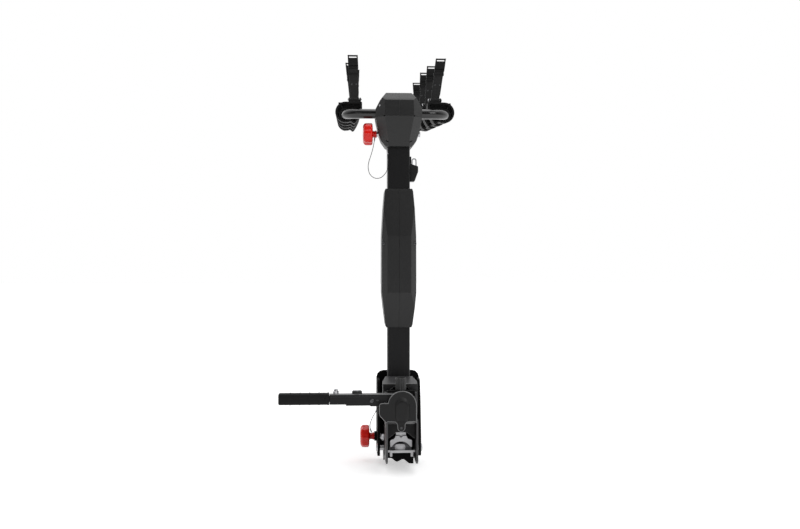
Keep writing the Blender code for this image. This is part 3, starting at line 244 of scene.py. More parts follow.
def new_neighbour(vertex: bmesh.types.BMVert) -> int:
    """Give the index of the selected point that was extruded from this one."""
    others = [edge.other_vert(vertex) for edge in vertex.link_edges]
    return next(other.index for other in others if other.select)


def prism(name: str, plane: Plane, outline: Sequence[Point], low: float, high: float) -> Piece:
    """Extrude an outline in a plane from one depth to another."""
    return loft(name, [[plane.point(a, b, depth) for a, b in outline] for depth in (low, high)])


def across(run: Vector) -> tuple[Vector, Vector]:
    """Give two directions at right angles to a run and to each other."""
    turn = run.normalized().to_track_quat("Z", "Y").to_matrix()
    return turn.col[0].copy(), turn.col[1].copy()


def circle(centre: Vector, right: Vector, up: Vector, radius: float, sides: int) -> list[Vector]:
    """Give the points of a circle in the plane of two directions."""
    angles = [FULL * i / sides for i in range(sides)]
    return [centre + radius * (right * math.cos(a) + up * math.sin(a)) for a in angles]


def arc(centre: Point, radius: float, start: float, end: float, steps: int) -> Outline:
    """Give points on an arc in a plane, from one angle in degrees to another."""
    angles = [math.radians(start + (end - start) * i / steps) for i in range(steps + 1)]
    return [(centre[0] + radius * math.cos(a), centre[1] + radius * math.sin(a)) for a in angles]


def mirrored(right: Outline) -> Outline:
    """Give an outline's right half and its mirror image."""
    return right + [(-x, z) for x, z in right[::-1]]


def turned(name: str, start: Point, run: Point, profile: Sequence[Point], sides: int = 48) -> Piece:
    """Make a turned piece.

    Args:
        name: The piece's name.
        start: The point on the axis that the profile counts from.
        run: Direction of the axis.
        profile: Pairs of radius and distance along the axis.
        sides: Number of sides round it.

    Returns:
        The turned piece.
    """
    base, along = Vector(start), Vector(run).normalized()
    right, up = across(along)
    return loft(name, [circle(base + along * z, right, up, max(r, MERGE / 3), sides) for r, z in profile])


def carried(points: Sequence[Vector]) -> Iterator[tuple[Vector, Vector, Vector]]:
    """Give each point of a path with two directions across it, turning as little as possible.

    Args:
        points: The path.

    Yields:
        A point, the direction to its right and the one up.
    """
    right = None
    for i, point in enumerate(points):
        run = (points[min(i + 1, len(points) - 1)] - points[max(i - 1, 0)]).normalized()
        right = across(run)[0] if right is None else (right - run * right.dot(run)).normalized()
        yield point, right, run.cross(right)


def use(obj: Piece, kind: str, **settings: object) -> Piece:
    """Add a modifier with these settings and apply it.

    Args:
        obj: The piece.
        kind: The modifier's type.
        **settings: The modifier's settings.

    Returns:
        The piece.
    """
    only(obj)
    modifier = obj.modifiers.new(kind.lower(), kind)
    for key, value in settings.items():
        setattr(modifier, key, value)
    bpy.ops.object.modifier_apply(modifier=modifier.name)
    return obj


def carved(obj: Piece, *others: Piece, operation: str = "DIFFERENCE") -> Piece:
    """Cut these shapes out of the piece, and remove them.

    Args:
        obj: The piece.
        *others: The shapes.
        operation: What the boolean does.

    Returns:
        The piece.
    """
    for other in others:
        use(obj, "BOOLEAN", operation=operation, object=other, solver="EXACT")
        removed(other)
    return obj


def welded(obj: Piece, *others: Piece) -> Piece:
    """Make these shapes one with the piece."""
    return carved(obj, *others, operation="UNION")


def joined(name: str, parts: Sequence[Piece]) -> Piece:
    """Put several shapes in one piece, as separate shells.

    Args:
        name: The piece's name.
        parts: The shapes.

    Returns:
        The piece.
    """
    only(parts[0])
    for part in parts:
        part.select_set(True)
    if len(parts) > 1:
        bpy.ops.object.join()
    return settled(parts[0], name)


def rounded(obj: Piece, width: float, segments: int = 2, angle: float = 40) -> Piece:
    """Round the edges that turn by more than the angle, in degrees."""
    limit = {"limit_method": "ANGLE", "angle_limit": math.radians(angle)}
    return use(obj, "BEVEL", width=width, segments=segments, miter_outer="MITER_ARC", **limit)


def smooth(obj: Piece, angle: float = 35) -> Piece:
    """Shade smoothly except over edges sharper than the angle, in degrees.

    Args:
        obj: The piece.
        angle: The angle.

    Returns:
        The piece.
    """
    only(obj)
    bpy.ops.object.shade_smooth_by_angle(angle=math.radians(angle), keep_sharp_edges=False)
    return obj


def chosen(obj: Piece, kind: str, test: Test) -> None:
    """Enter edit mode with the faces or edges selected that the test names by place and direction.

    Args:
        obj: The piece.
        kind: FACE or EDGE.
        test: Says whether it is wanted, from its middle and its normal (a face) or run (an edge).
    """
    only(obj, "EDIT")
    bpy.ops.mesh.select_mode(type=kind)
    bpy.ops.mesh.select_all(action="DESELECT")
    shape = bmesh.from_edit_mesh(obj.data)
    if kind == "FACE":
        for face in shape.faces:
            face.select_set(test(face.calc_center_median(), face.normal))
    else:
        for edge in shape.edges:
            start, end = (vertex.co for vertex in edge.verts)
            edge.select_set(test((start + end) / 2, (end - start).normalized()))
    bmesh.update_edit_mesh(obj.data)


def eased(obj: Piece, width: float, segments: int, test: Test, **settings: object) -> Piece:
    """Round the edges that the test names by middle and direction.

    Args:
        obj: The piece.
        width: Width of the rounding.
        segments: Segments across it.
        test: Says which edges.
        **settings: The bevel's other settings.

    Returns:
        The piece.
    """
    chosen(obj, "EDGE", test)
    bpy.ops.mesh.bevel(offset=width, segments=segments, affect="EDGES", **settings)
    done()
    return obj


def copied(source: Piece, name: str) -> Piece:
    """Copy a piece with a mesh of its own.

    Args:
        source: The piece to copy.
        name: The copy's name.

    Returns:
        The copy.
    """
    copy = bpy.data.objects.new(name, source.data.copy())
    bpy.context.scene.collection.objects.link(copy)
    copy.data.name = name
    return copy


def refined(node: str, name: str, width: float, segments: int = 2) -> Piece:
    """Copy a CAD node, merge its loose triangles into faces and round its edges.

    Args:
        node: The CAD node.
        name: The copy's name.
        width: Width of the rounding.
        segments: Segments across the rounding.

    Returns:
        The finished copy.
    """
    copy = copied(frame["nodes"][node], name)
    copy.data.materials.clear()
    only(copy, "EDIT")
    bpy.ops.mesh.select_all(action="SELECT")
    bpy.ops.mesh.remove_doubles(threshold=MERGE)
    bpy.ops.mesh.dissolve_limited(angle_limit=math.radians(3))
    done()
    rounded(copy, width, segments, 30)
    return smooth(copy)


def fill(tree: Tree, node: bpy.types.Node, *places: object, **inputs: object) -> bpy.types.Node:
    """Fill a node's inputs, first by order and then by name: a socket is linked, a value is set.

    Args:
        tree: The tree that the node is in.
        node: The node.
        *places: What its first inputs take.
        **inputs: What its named inputs take, with an underscore for each blank in a name.

    Returns:
        The node.
    """
    named = {name.replace("_", " "): value for name, value in inputs.items()}
    for key, value in [*enumerate(places), *named.items()]:
        if isinstance(value, Socket):
            tree.links.new(value, node.inputs[key])
        else:
            node.inputs[key].default_value = value
    return node


def added(tree: Tree, kind: str, *places: object, **inputs: object) -> bpy.types.Node:
    """Add a node and fill its inputs. Its kind may end in a colon and its operation or data type.

    Args:
        tree: The tree that it goes in.
        kind: Its kind.
        *places: What its first inputs take.
        **inputs: What its named inputs take.

    Returns:
        The node.
    """
    kind, _, way = kind.partition(":")
    node = tree.nodes.new("ShaderNode" + kind)
    if way:
        setattr(node, "data_type" if kind == "Mix" else "operation", way)
    return fill(tree, node, *places, **inputs)


@dataclass(frozen=True)
class Finish:
    """One surface finish: its tones, its gloss and the fine relief that its making leaves."""

    name: str
    slot: str
    colour: Triple
    drift: Triple
    roughness: float
    specular: float = 0.5
    grain: float = 900
    depth: float = 0.00003
    patch: float = 22
    spread: float = 0.08
    metallic: float = 0.0
    coat: float = 0.0
    stretch: Triple = (1.0, 1.0, 1.0)
    # Colour that the edges turn to: partly real wear, partly a painted highlight along the edges.
    worn: Triple | None = None

    def material(self) -> bpy.types.Material:
        """Give the finish's material, made at its first use.

        Returns:
            The material.
        """
        made = bpy.data.materials.get(self.name)
        if made:
            return made
        made = bpy.data.materials.new(self.name)
        made.use_nodes = True
        tree = made.node_tree
        place = added(tree, "TexCoord").outputs["Object"]
        lie = added(tree, "Mapping", Vector=place, Scale=self.stretch).outputs["Vector"]
        broad = added(tree, "TexNoise", Vector=place, Scale=self.patch, Detail=4).outputs["Fac"]
        fine = added(tree, "TexNoise", Vector=lie, Scale=self.grain, Detail=3).outputs["Fac"]
        tones = {"A": (*self.colour, 1), "B": (*self.drift, 1)}
        tone = added(tree, "Mix:RGBA", Factor=broad, **tones).outputs["Result"]
        low, high = max(self.roughness - self.spread, 0.02), min(self.roughness + self.spread, 1.0)
        gloss = added(tree, "MapRange", Value=fine, From_Min=0.3, From_Max=0.7, To_Min=low, To_Max=high)
        relief = added(tree, "Bump", Height=fine, Strength=1.0, Distance=self.depth)
        fill(
            tree, tree.nodes["Principled BSDF"], Metallic=self.metallic, Coat_Weight=self.coat,
            Specular_IOR_Level=self.specular, Coat_Roughness=0.12, Roughness=gloss.outputs["Result"],
            Base_Color=self.worn_edges(tree, tone) if self.worn else tone,
            Normal=relief.outputs["Normal"],
        )
        return made

    def worn_edges(self, tree: Tree, colour: Socket) -> Socket:
        """Lighten the finish's edges: wear where hands and bikes rub it, and a painted highlight.

        Args:
            tree: The material's nodes.
            colour: The finish's colour so far.

        Returns:
            The colour with its worn and highlighted edges.
        """
        soft = added(tree, "Bevel", Radius=0.0009)
        soft.samples = 4
        true = added(tree, "NewGeometry").outputs["Normal"]
        facing = added(tree, "VectorMath:DOT_PRODUCT", soft.outputs["Normal"], true).outputs["Value"]
        share = added(tree, "MapRange", Value=facing, From_Min=0.995, From_Max=0.9, To_Max=0.55)
        share = share.outputs["Result"]
        return added(tree, "Mix:RGBA", Factor=share, A=colour, B=(*self.worn, 1)).outputs["Result"]


COATED_STEEL = Finish(
    "powder_coated_steel", "black_steel", (0.0095, 0.0095, 0.01), (0.0135, 0.0135, 0.014), 0.44, 0.22,
    1100, 0.00005, worn=(0.1, 0.1, 0.102),
)
# Light grey for faces along edges and chamfers: a painted highlight where light catches them.
PAINTED_EDGE_HIGHLIGHT = Finish(
    "rubbed_edge", "black_steel", (0.24, 0.24, 0.244), (0.15, 0.15, 0.153), 0.34, patch=60
)
# Mid grey: on the plates' cut edges partly their own tone, partly a painted highlight; on top faces
# painted light from above.
CUT_EDGE_AND_PAINTED_LIGHT = Finish(
    "cut_plate_edge", "black_steel", (0.075, 0.075, 0.077), (0.05, 0.05, 0.052), 0.4, 0.4,
    depth=0.00004, patch=50,
)
# A darker, duller copy of the coated steel: painted shade on the plates deep in the coupler and on the
# foot bracket; also the upper pin's dark tip.
DARK_COAT_AND_PAINTED_SHADE = Finish(
    "unlit_black_plate", "black_steel", (0.0048, 0.0048, 0.005), (0.007, 0.007, 0.0072), 0.6, 0.06,
    1100, 0.00004, worn=(0.035, 0.035, 0.036),
)
MAST_COAT = Finish(
    "satin_coated_tube", "satin_black", (0.007, 0.007, 0.0074), (0.0095, 0.0095, 0.01), 0.4, 0.2,
    1300, 0.00004, worn=(0.06, 0.06, 0.062),
)
MOULDED_BLACK = Finish(
    "spark_textured_plastic", "black_plastic", (0.0108, 0.0108, 0.0111), (0.014, 0.014, 0.0144), 0.42,
    0.36, 1900, 0.00006, worn=(0.085, 0.085, 0.087),
)
COVER_BLACK = Finish(
    "smooth_cover_plastic", "black_plastic", (0.007, 0.007, 0.0072), (0.0092, 0.0092, 0.0095), 0.4, 0.28,
    1900, 0.00005,
)
ARM_GLOSS = Finish(
    "gloss_coated_tube", "gloss_black", (0.007, 0.007, 0.0073), (0.0095, 0.0095, 0.01), 0.2, 0.4,
    500, spread=0.04, coat=0.35,
)
SOFT_RUBBER = Finish(
    "moulded_rubber", "soft_black", (0.0085, 0.0085, 0.0088), (0.0125, 0.0125, 0.0127), 0.58, 0.15,
    1600, 0.00005, worn=(0.05, 0.05, 0.05),
)
PAD_RUBBER = Finish(
    "saddle_pad_rubber", "soft_black", (0.0065, 0.0065, 0.0067), (0.01, 0.01, 0.0102), 0.6, 0.2,
    2400, 0.00006,
)
STRAP_RUBBER = Finish(
    "strap_rubber", "soft_black", (0.0125, 0.0125, 0.0127), (0.018, 0.018, 0.0182), 0.55, 0.25,
    1400, 0.00004, stretch=(1.0, 1.0, 0.25), worn=(0.045, 0.045, 0.045),
)
SMOOTH_BLACK = Finish(
    "polished_moulding", "soft_black", (0.015, 0.015, 0.0153), (0.019, 0.019, 0.0194), 0.34, 0.45,
    worn=(0.11, 0.11, 0.11),
)
ZINC = Finish(
    "zinc_plated_steel", "bright_steel", (0.6, 0.6, 0.61), (0.46, 0.46, 0.48), 0.34,
    patch=60, metallic=1.0,
)
# Dark zinc of the screws and rivets; also painted shade inside the jaw's hollow and round the ball seat's
# middle.
DARK_ZINC_AND_PAINTED_SHADE = Finish(
    "black_zinc_screw", "bright_steel", (0.12, 0.12, 0.125), (0.08, 0.08, 0.084), 0.36,
    patch=80, metallic=1.0,
)
CAST_ZINC = Finish(
    "cast_and_tumbled_steel", "bright_steel", (0.52, 0.52, 0.53), (0.38, 0.38, 0.39), 0.4,
    grain=1000, depth=0.00008, patch=70, metallic=1.0,
)
WIRE = Finish(
    "stranded_steel_wire", "bright_steel", (0.1, 0.1, 0.103), (0.06, 0.06, 0.062), 0.5,
    grain=2600, depth=0.00002, patch=120, metallic=1.0,
)
RED_GLOSS = Finish(
    "red_moulding", "red_plastic", (0.92, 0.01, 0.003), (0.84, 0.007, 0.002), 0.24, 0.3,
    260, 0.00004, spread=0.05, coat=0.3,
)


def dress(piece: Piece, finish: Finish, body: str | None, *nodes: str, angle: float = 35) -> Piece:
    """Give a piece its finish and its body, and hide the CAD nodes that it stands for.

    Args:
        piece: The piece.
        finish: Its finish.
        body: The CAD body that it rides on, or None where it spans two bodies and rides on neither.
        *nodes: The CAD nodes that it replaces.
        angle: Edges sharper than this, in degrees, stay sharp.

    Returns:
        The dressed piece.
    """
    piece.data.materials.clear()
    piece.data.materials.append(finish.material())
    smooth(piece, angle)
    if body:
        use(piece, "WEIGHTED_NORMAL", keep_sharp=True)
        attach(piece, body)
    if nodes:
        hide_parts(*nodes)
    LOG.info("%s on %s", piece.name, body)
    return piece


def tinted(piece: Piece, finish: Finish, test: Test) -> Piece:
    """Give a second finish to the faces that the test names by centre and normal.

    Args:
        piece: The piece.
        finish: The second finish.
        test: Says which faces.

    Returns:
        The piece.
    """
    piece.data.materials.append(finish.material())
    chosen(piece, "FACE", test)
    piece.active_material_index = len(piece.data.materials) - 1
    bpy.ops.object.material_slot_assign()
    done()
    return piece


def screw_head(name: str, place: Point, run: Point, radius: float, rise: float, socket: float) -> Piece:
    """Make a button head with a hexagon socket.

    Args:
        name: The piece's name.
        place: Where the head sits, on the screw's axis.
        run: The way that it faces.
        radius: Radius of the head.
        rise: Height of the head.
        socket: Radius of the socket's corners.

    Returns:
        The head.
    """
    start, along = Vector(place), Vector(run).normalized()
    crown = [(1, 0.35), (0.92, 0.68), (0.7, 0.93), (0.45, 1)]
    profile = [(0.0001, -0.001), (radius, -0.001)] + [(radius * wide, rise * up) for wide, up in crown]
    head = turned(name, start, along, profile + [(0.0001, rise)], 32)
    floor, open_end = start + along * rise * 0.25, start + along * (rise + 0.001)
    return carved(head, barrel("socket", floor, open_end, socket, 6))


def body_of(node: str) -> str:
    """Give the body that a CAD node is in."""
    bodies = frame["record"]["behaviour"]["bodies"]
    return next(body for body, nodes in bodies.items() if node in nodes)


def smooth_route(places: Sequence[Point], spacing: float) -> list[Vector]:
    """Give points along a smooth curve through a route, its two ends included.

    Args:
        places: The route's points.
        spacing: About the step between the given points, in metres.

    Returns:
        The points.
    """
    points = [Vector(place) for place in places]
    fine = []
    for i in range(len(points) - 1):
        before, here = points[max(i - 1, 0)], points[i]
        there, after = points[i + 1], points[min(i + 2, len(points) - 1)]
        bend = 2 * before - 5 * here + 4 * there - after
        twist = 3 * here - before - 3 * there + after
        for t in (k / 20 for k in range(20)):
            fine.append(0.5 * (2 * here + (there - before) * t + bend * t**2 + twist * t**3))
    fine.append(points[-1])
    route, walked = [fine[0]], 0.0
    for here, there in zip(fine, fine[1:]):
        walked += (there - here).length
        if walked >= spacing:
            route.append(there)
            walked = 0.0
    route[-1] = fine[-1]
    return route


UPPER_ROUTE = (
    (-0.0532, 0.0935, 0.6903), (-0.055, 0.085, 0.677), (-0.058, 0.077, 0.662),
    (-0.0625, 0.071, 0.646), (-0.0672, 0.0675, 0.631), (-0.0687, 0.066, 0.6184),
    (-0.0658, 0.0655, 0.6055), (-0.0593, 0.0655, 0.5977), (-0.05, 0.0655, 0.5943),
    (-0.0397, 0.0655, 0.5966), (-0.0306, 0.066, 0.6055), (-0.026, 0.0665, 0.6155),
    (-0.0245, 0.0675, 0.6334), (-0.0252, 0.069, 0.645), (-0.0268, 0.0705, 0.6596),
)
LOWER_ROUTE = (
    (-0.0601, 0.1042, 0.0222), (-0.0632, 0.101, 0.031), (-0.064, 0.097, 0.04),
    (-0.0622, 0.094, 0.0485), (-0.059, 0.091, 0.057), (-0.0545, 0.088, 0.066),
    (-0.051, 0.086, 0.0725), (-0.049, 0.085, 0.079),
)


@dataclass
class PullLock:
    """A red lobed knob on its steel pin, with the wire lanyard that keeps it."""

    name: str
    centre: Pair
    radius: float
    outer: float
    inner: float
    neck_end: float
    route: Sequence[Point]
    length: float
    lobes: int = 8
    groove: float = 0.0024
    wire: float = 0.0008
    strands: int = 6
    twist_pitch: float = 0.009

    def build(self) -> None:
        """Make the knob, the pin and the lanyard."""
        body = self.name + "_lock"
        dress(self.knob(), RED_GLOSS, body, body + "_knob", angle=28)
        dress(refined(body + "_pin", self.name + "_pin", 0.0008, 3), ZINC, body, body + "_pin")
        self.lanyard(body)

    def ring(self, x: float, radius: float, share: float) -> list[Vector]:
        """Give one section of the knob, its edge in lobes of this share of the grooves' depth.

        Args:
            x: The section's place.
            radius: Its reach at the lobes.
            share: How much of the grooves' depth it has.

        Returns:
            Its points.
        """
        steps = 6 * self.lobes
        y, z = self.centre
        places = []
        for angle in (FULL * i / steps for i in range(steps)):
            reach = radius - self.groove * share * ((1 - math.cos(self.lobes * angle)) / 2) ** 1.6
            places.append(Vector((x, y + reach * math.cos(angle), z + reach * math.sin(angle))))
        return places

    def knob(self) -> Piece:
        """Make the lobed knob with its dished face, waist and collar.

        Returns:
            The knob.
        """
        full, out, inn, neck = self.radius, self.outer, self.inner, self.neck_end
        sections = (
            (out + 0.0022, 0.0005, 0), (out + 0.0022, 0.0105, 0), (out + 0.0016, 0.0112, 0),
            (out + 0.0001, 0.0122, 0), (out, 0.013, 0), (out + 0.0003, full - 0.0078, 0.6),
            (out + 0.0013, full - 0.0046, 0.75), (out + 0.003, full - 0.002, 0.9),
            (out + 0.005, full - 0.0006, 1), (out + 0.007, full, 1), (inn - 0.004, full, 1),
            (inn - 0.0018, full - 0.0007, 1), (inn - 0.0005, full - 0.0022, 0.9),
            (inn, full - 0.0045, 0.7), (inn + 0.0002, 0.0105, 0), (inn + 0.0007, 0.0086, 0),
            (inn + 0.0022, 0.0072, 0),
            (neck - 0.0046, 0.007, 0), (neck - 0.0036, 0.0082, 0), (neck - 0.0012, 0.0084, 0),
            (neck, 0.0078, 0), (neck, 0.0064, 0),
        )
        return loft(self.name + "_knob", [self.ring(*section) for section in sections])

    def lanyard(self, body: str) -> None:
        """Make the twisted wire on its route, with a crimped sleeve at each end.

        Args:
            body: The body that the knob's end rides on.
        """
        path = smooth_route(self.route, 0.0011)
        rings, walked = [], 0.0
        for i, (point, right, up) in enumerate(carried(path)):
            walked += (point - path[i - 1]).length if i else 0.0
            ring = []
            for k in range(2 * self.strands):
                angle = math.pi * k / self.strands + FULL * walked / self.twist_pitch
                reach = self.wire * (1.0 if k % 2 else 0.84)
                ring.append(point + reach * (right * math.cos(angle) + up * math.sin(angle)))
            rings.append(ring)
        wire = loft(self.name + "_wire", rings)
        dress(wire, WIRE, None, self.name + "_lanyard", angle=50)
        tuple(self.route[-1])
        tuple(self.route[0])
        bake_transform(wire)
        sleeves = [
            self.sleeve("knob", path[1], path[7], body),
            self.sleeve("mast", path[-2], path[-8], "mast"),
        ]
        tuple(path[-1])
        [tuple(point) for point in path]

    def sleeve(self, word: str, start: Vector, end: Vector, body: str) -> Piece:
        """Crimp a small sleeve on the wire between two points.

        Args:
            word: Which end of the wire.
            start: The sleeve's first end.
            end: Its other end.
            body: The body that it rides on.

        Returns:
            The sleeve.
        """
        run = end - start
        profile = [(0.0009, 0), (0.0014, 0.0003), (0.0014, run.length - 0.0003), (0.0009, run.length)]
        return dress(turned(f"{self.name}_sleeve_{word}", start, run, profile, 16), ZINC, body)


def build_locks() -> None:
    """Build both pull locks, and the upper pin's black tip."""
    PullLock("upper", (0.098, 0.697), 0.0251, -0.08, -0.058, -0.049, UPPER_ROUTE, 0.192).build()
    PullLock("lower", (0.105, 0.014), 0.0254, -0.086, -0.0655, -0.0543, LOWER_ROUTE, 0.0636).build()
    tip = barrel("upper_pin_tip", (0.044, 0.098, 0.697), (0.0484, 0.098, 0.697), 0.0056)
    dress(rounded(tip, 0.0012, 3), DARK_COAT_AND_PAINTED_SHADE, "upper_lock")


@dataclass
class Strap:
    """A moulded strap on its hinge, with a rung back, a keeper and a ladder buckle at its end."""

    height: float
    leans: tuple[float, ...]
    last_stretch: float = 1.0
    hinge_up: float = 0.0355
    width: float = 0.021
    thick: float = 0.003
    buckle_width: float = 0.0232
    rivet_rise: float = 0.0347
    rivet_apart: float = 0.0106
    keeper: Pair = (0.0556, 0.0606)
    rungs: int = 13

    @property
    def rise(self) -> float:
        """Height of the strap's end above its hinge."""
        return self.height - self.hinge_up

    def lean(self, k: int) -> Matrix:
        """Give a strap's lean about its hinge, and its shortening on the last cradle.

        Args:
            k: Number of its cradle, from 0.

        Returns:
            The shear.
        """
        lean = Matrix.Identity(4)
        lean[2][2] = self.last_stretch if k == 3 else 1.0
        lean[0][2] = math.tan(math.radians(self.leans[k]))
        return lean

    def tongue(self) -> Piece:
        """Make the tongue: hinge eye, tapered root, raised side rims and rungs on its back.

        Returns:
            The tongue.
        """
        half, deep = self.width / 2, self.thick / 2
        low, high = self.keeper
        sections = (
            (0.0022, half - 0.0014, deep + 0.0009), (0.008, half - 0.001, deep + 0.0002),
            (0.015, half - 0.0002, deep), (high + 0.002, half, deep),
            (high + 0.005, half - 0.0011, deep), (self.rise - 0.024, half - 0.0011, deep),
        )
        rings = [[(-x, -y, z), (x, -y, z), (x, deep, z), (-x, deep, z)] for z, x, y in sections]
        parts = [rounded(loft("tongue", rings), 0.0005)]
        eye = barrel("eye", (-half, 0, 0), (half, 0, 0), 0.0042, 28)
        parts.append(carved(eye, barrel("bore", (-0.02, 0, 0), (0.02, 0, 0), 0.0022, 20)))
        top = low - 0.001
        for side in ENDS:
            x = side * (half - 0.0013)
            rim = slab("rim", (x - 0.0007, -deep - 0.0006, 0.016), (x + 0.0007, -deep + 0.0006, top))
            parts.append(rounded(rim, 0.0004))
        step = (top - 0.014) / self.rungs
        rung = ((-0.0005, 0), (-0.0005, 0.0027), (0.001, 0.0024), (0.0012, 0.0014))
        for z in (0.014 + i * step for i in range(self.rungs)):
            profile = [(deep + out, z + up) for out, up in rung]
            parts.append(prism("rung", Plane.YZ, profile, -half + 0.0028, half - 0.0028))
        return joined("tongue", parts)

    def buckle(self) -> Piece:
        """Make the ladder buckle: open loop at the top, bulged body, cross bar and the keeper below.

        Returns:
            The buckle.
        """
        half, rise = self.buckle_width / 2, self.rise
        profile = (
            (0.0028, -0.03), (0.003, -0.008), (0.0024, -0.0006), (0.0012, 0.0), (-0.0012, 0.0),
            (-0.0022, -0.001), (-0.0024, -0.0068), (-0.0036, -0.0086), (-0.0052, -0.015),
            (-0.0056, -0.0222), (-0.0048, -0.024), (-0.0028, -0.0244), (-0.0028, -0.0254),
            (-0.005, -0.026), (-0.0055, -0.0284), (-0.0044, -0.0303), (0.001, -0.0306),
        )
        body = prism("buckle", Plane.YZ, [(y, rise + z) for y, z in profile], -half, half)
        rounded(body, 0.0007, 2, 25)
        room = half - 0.0027
        window = slab("window", (-room, -0.02, rise - 0.0064), (room, 0.02, rise - 0.0034))
        room = half - 0.0018
        channel = slab("channel", (-room, -0.0022, rise - 0.04), (room, 0.0016, rise - 0.0235))
        carved(body, rounded(window, 0.0012, 3), channel)
        top, edge = rise - 0.0012, half - 0.0012
        eased(body, 0.0016, 3, lambda at, run: at.z > top and abs(at.x) > edge and abs(run.y) > 0.9)
        low, high = self.keeper
        room = self.width / 2 + 0.0001
        keeper = slab("keeper", (-half - 0.0002, -0.0032, low), (half + 0.0002, 0.0032, high))
        carved(keeper, slab("room", (-room, -0.0021, low - 0.01), (room, 0.0029, high + 0.01)))
        parts = [body, rounded(keeper, 0.0005)]
        for x in (side * (half - 0.0012) for side in ENDS):
            rail = slab("rail", (x - 0.0009, -0.0018, high - 0.001), (x + 0.0009, 0.0022, rise - 0.028))
            parts.append(rounded(rail, 0.0005))
        return joined("buckle", parts)

    def rivets(self) -> Piece:
        """Make the two small rivet heads on the tongue's face.

        Returns:
            Both heads.
        """
        profile = (
            (0.0001, 0), (0.0019, 0), (0.0019, 0.0006), (0.0014, 0.0011), (0.0006, 0.0013),
            (0.0001, 0.0013),
        )
        heads = []
        for side in ENDS:
            start = (side * self.rivet_apart / 2, -self.thick / 2 + 0.0003, self.rivet_rise)
            heads.append(turned("rivet", start, FORWARD, profile, 20))
        return joined("rivets", heads)


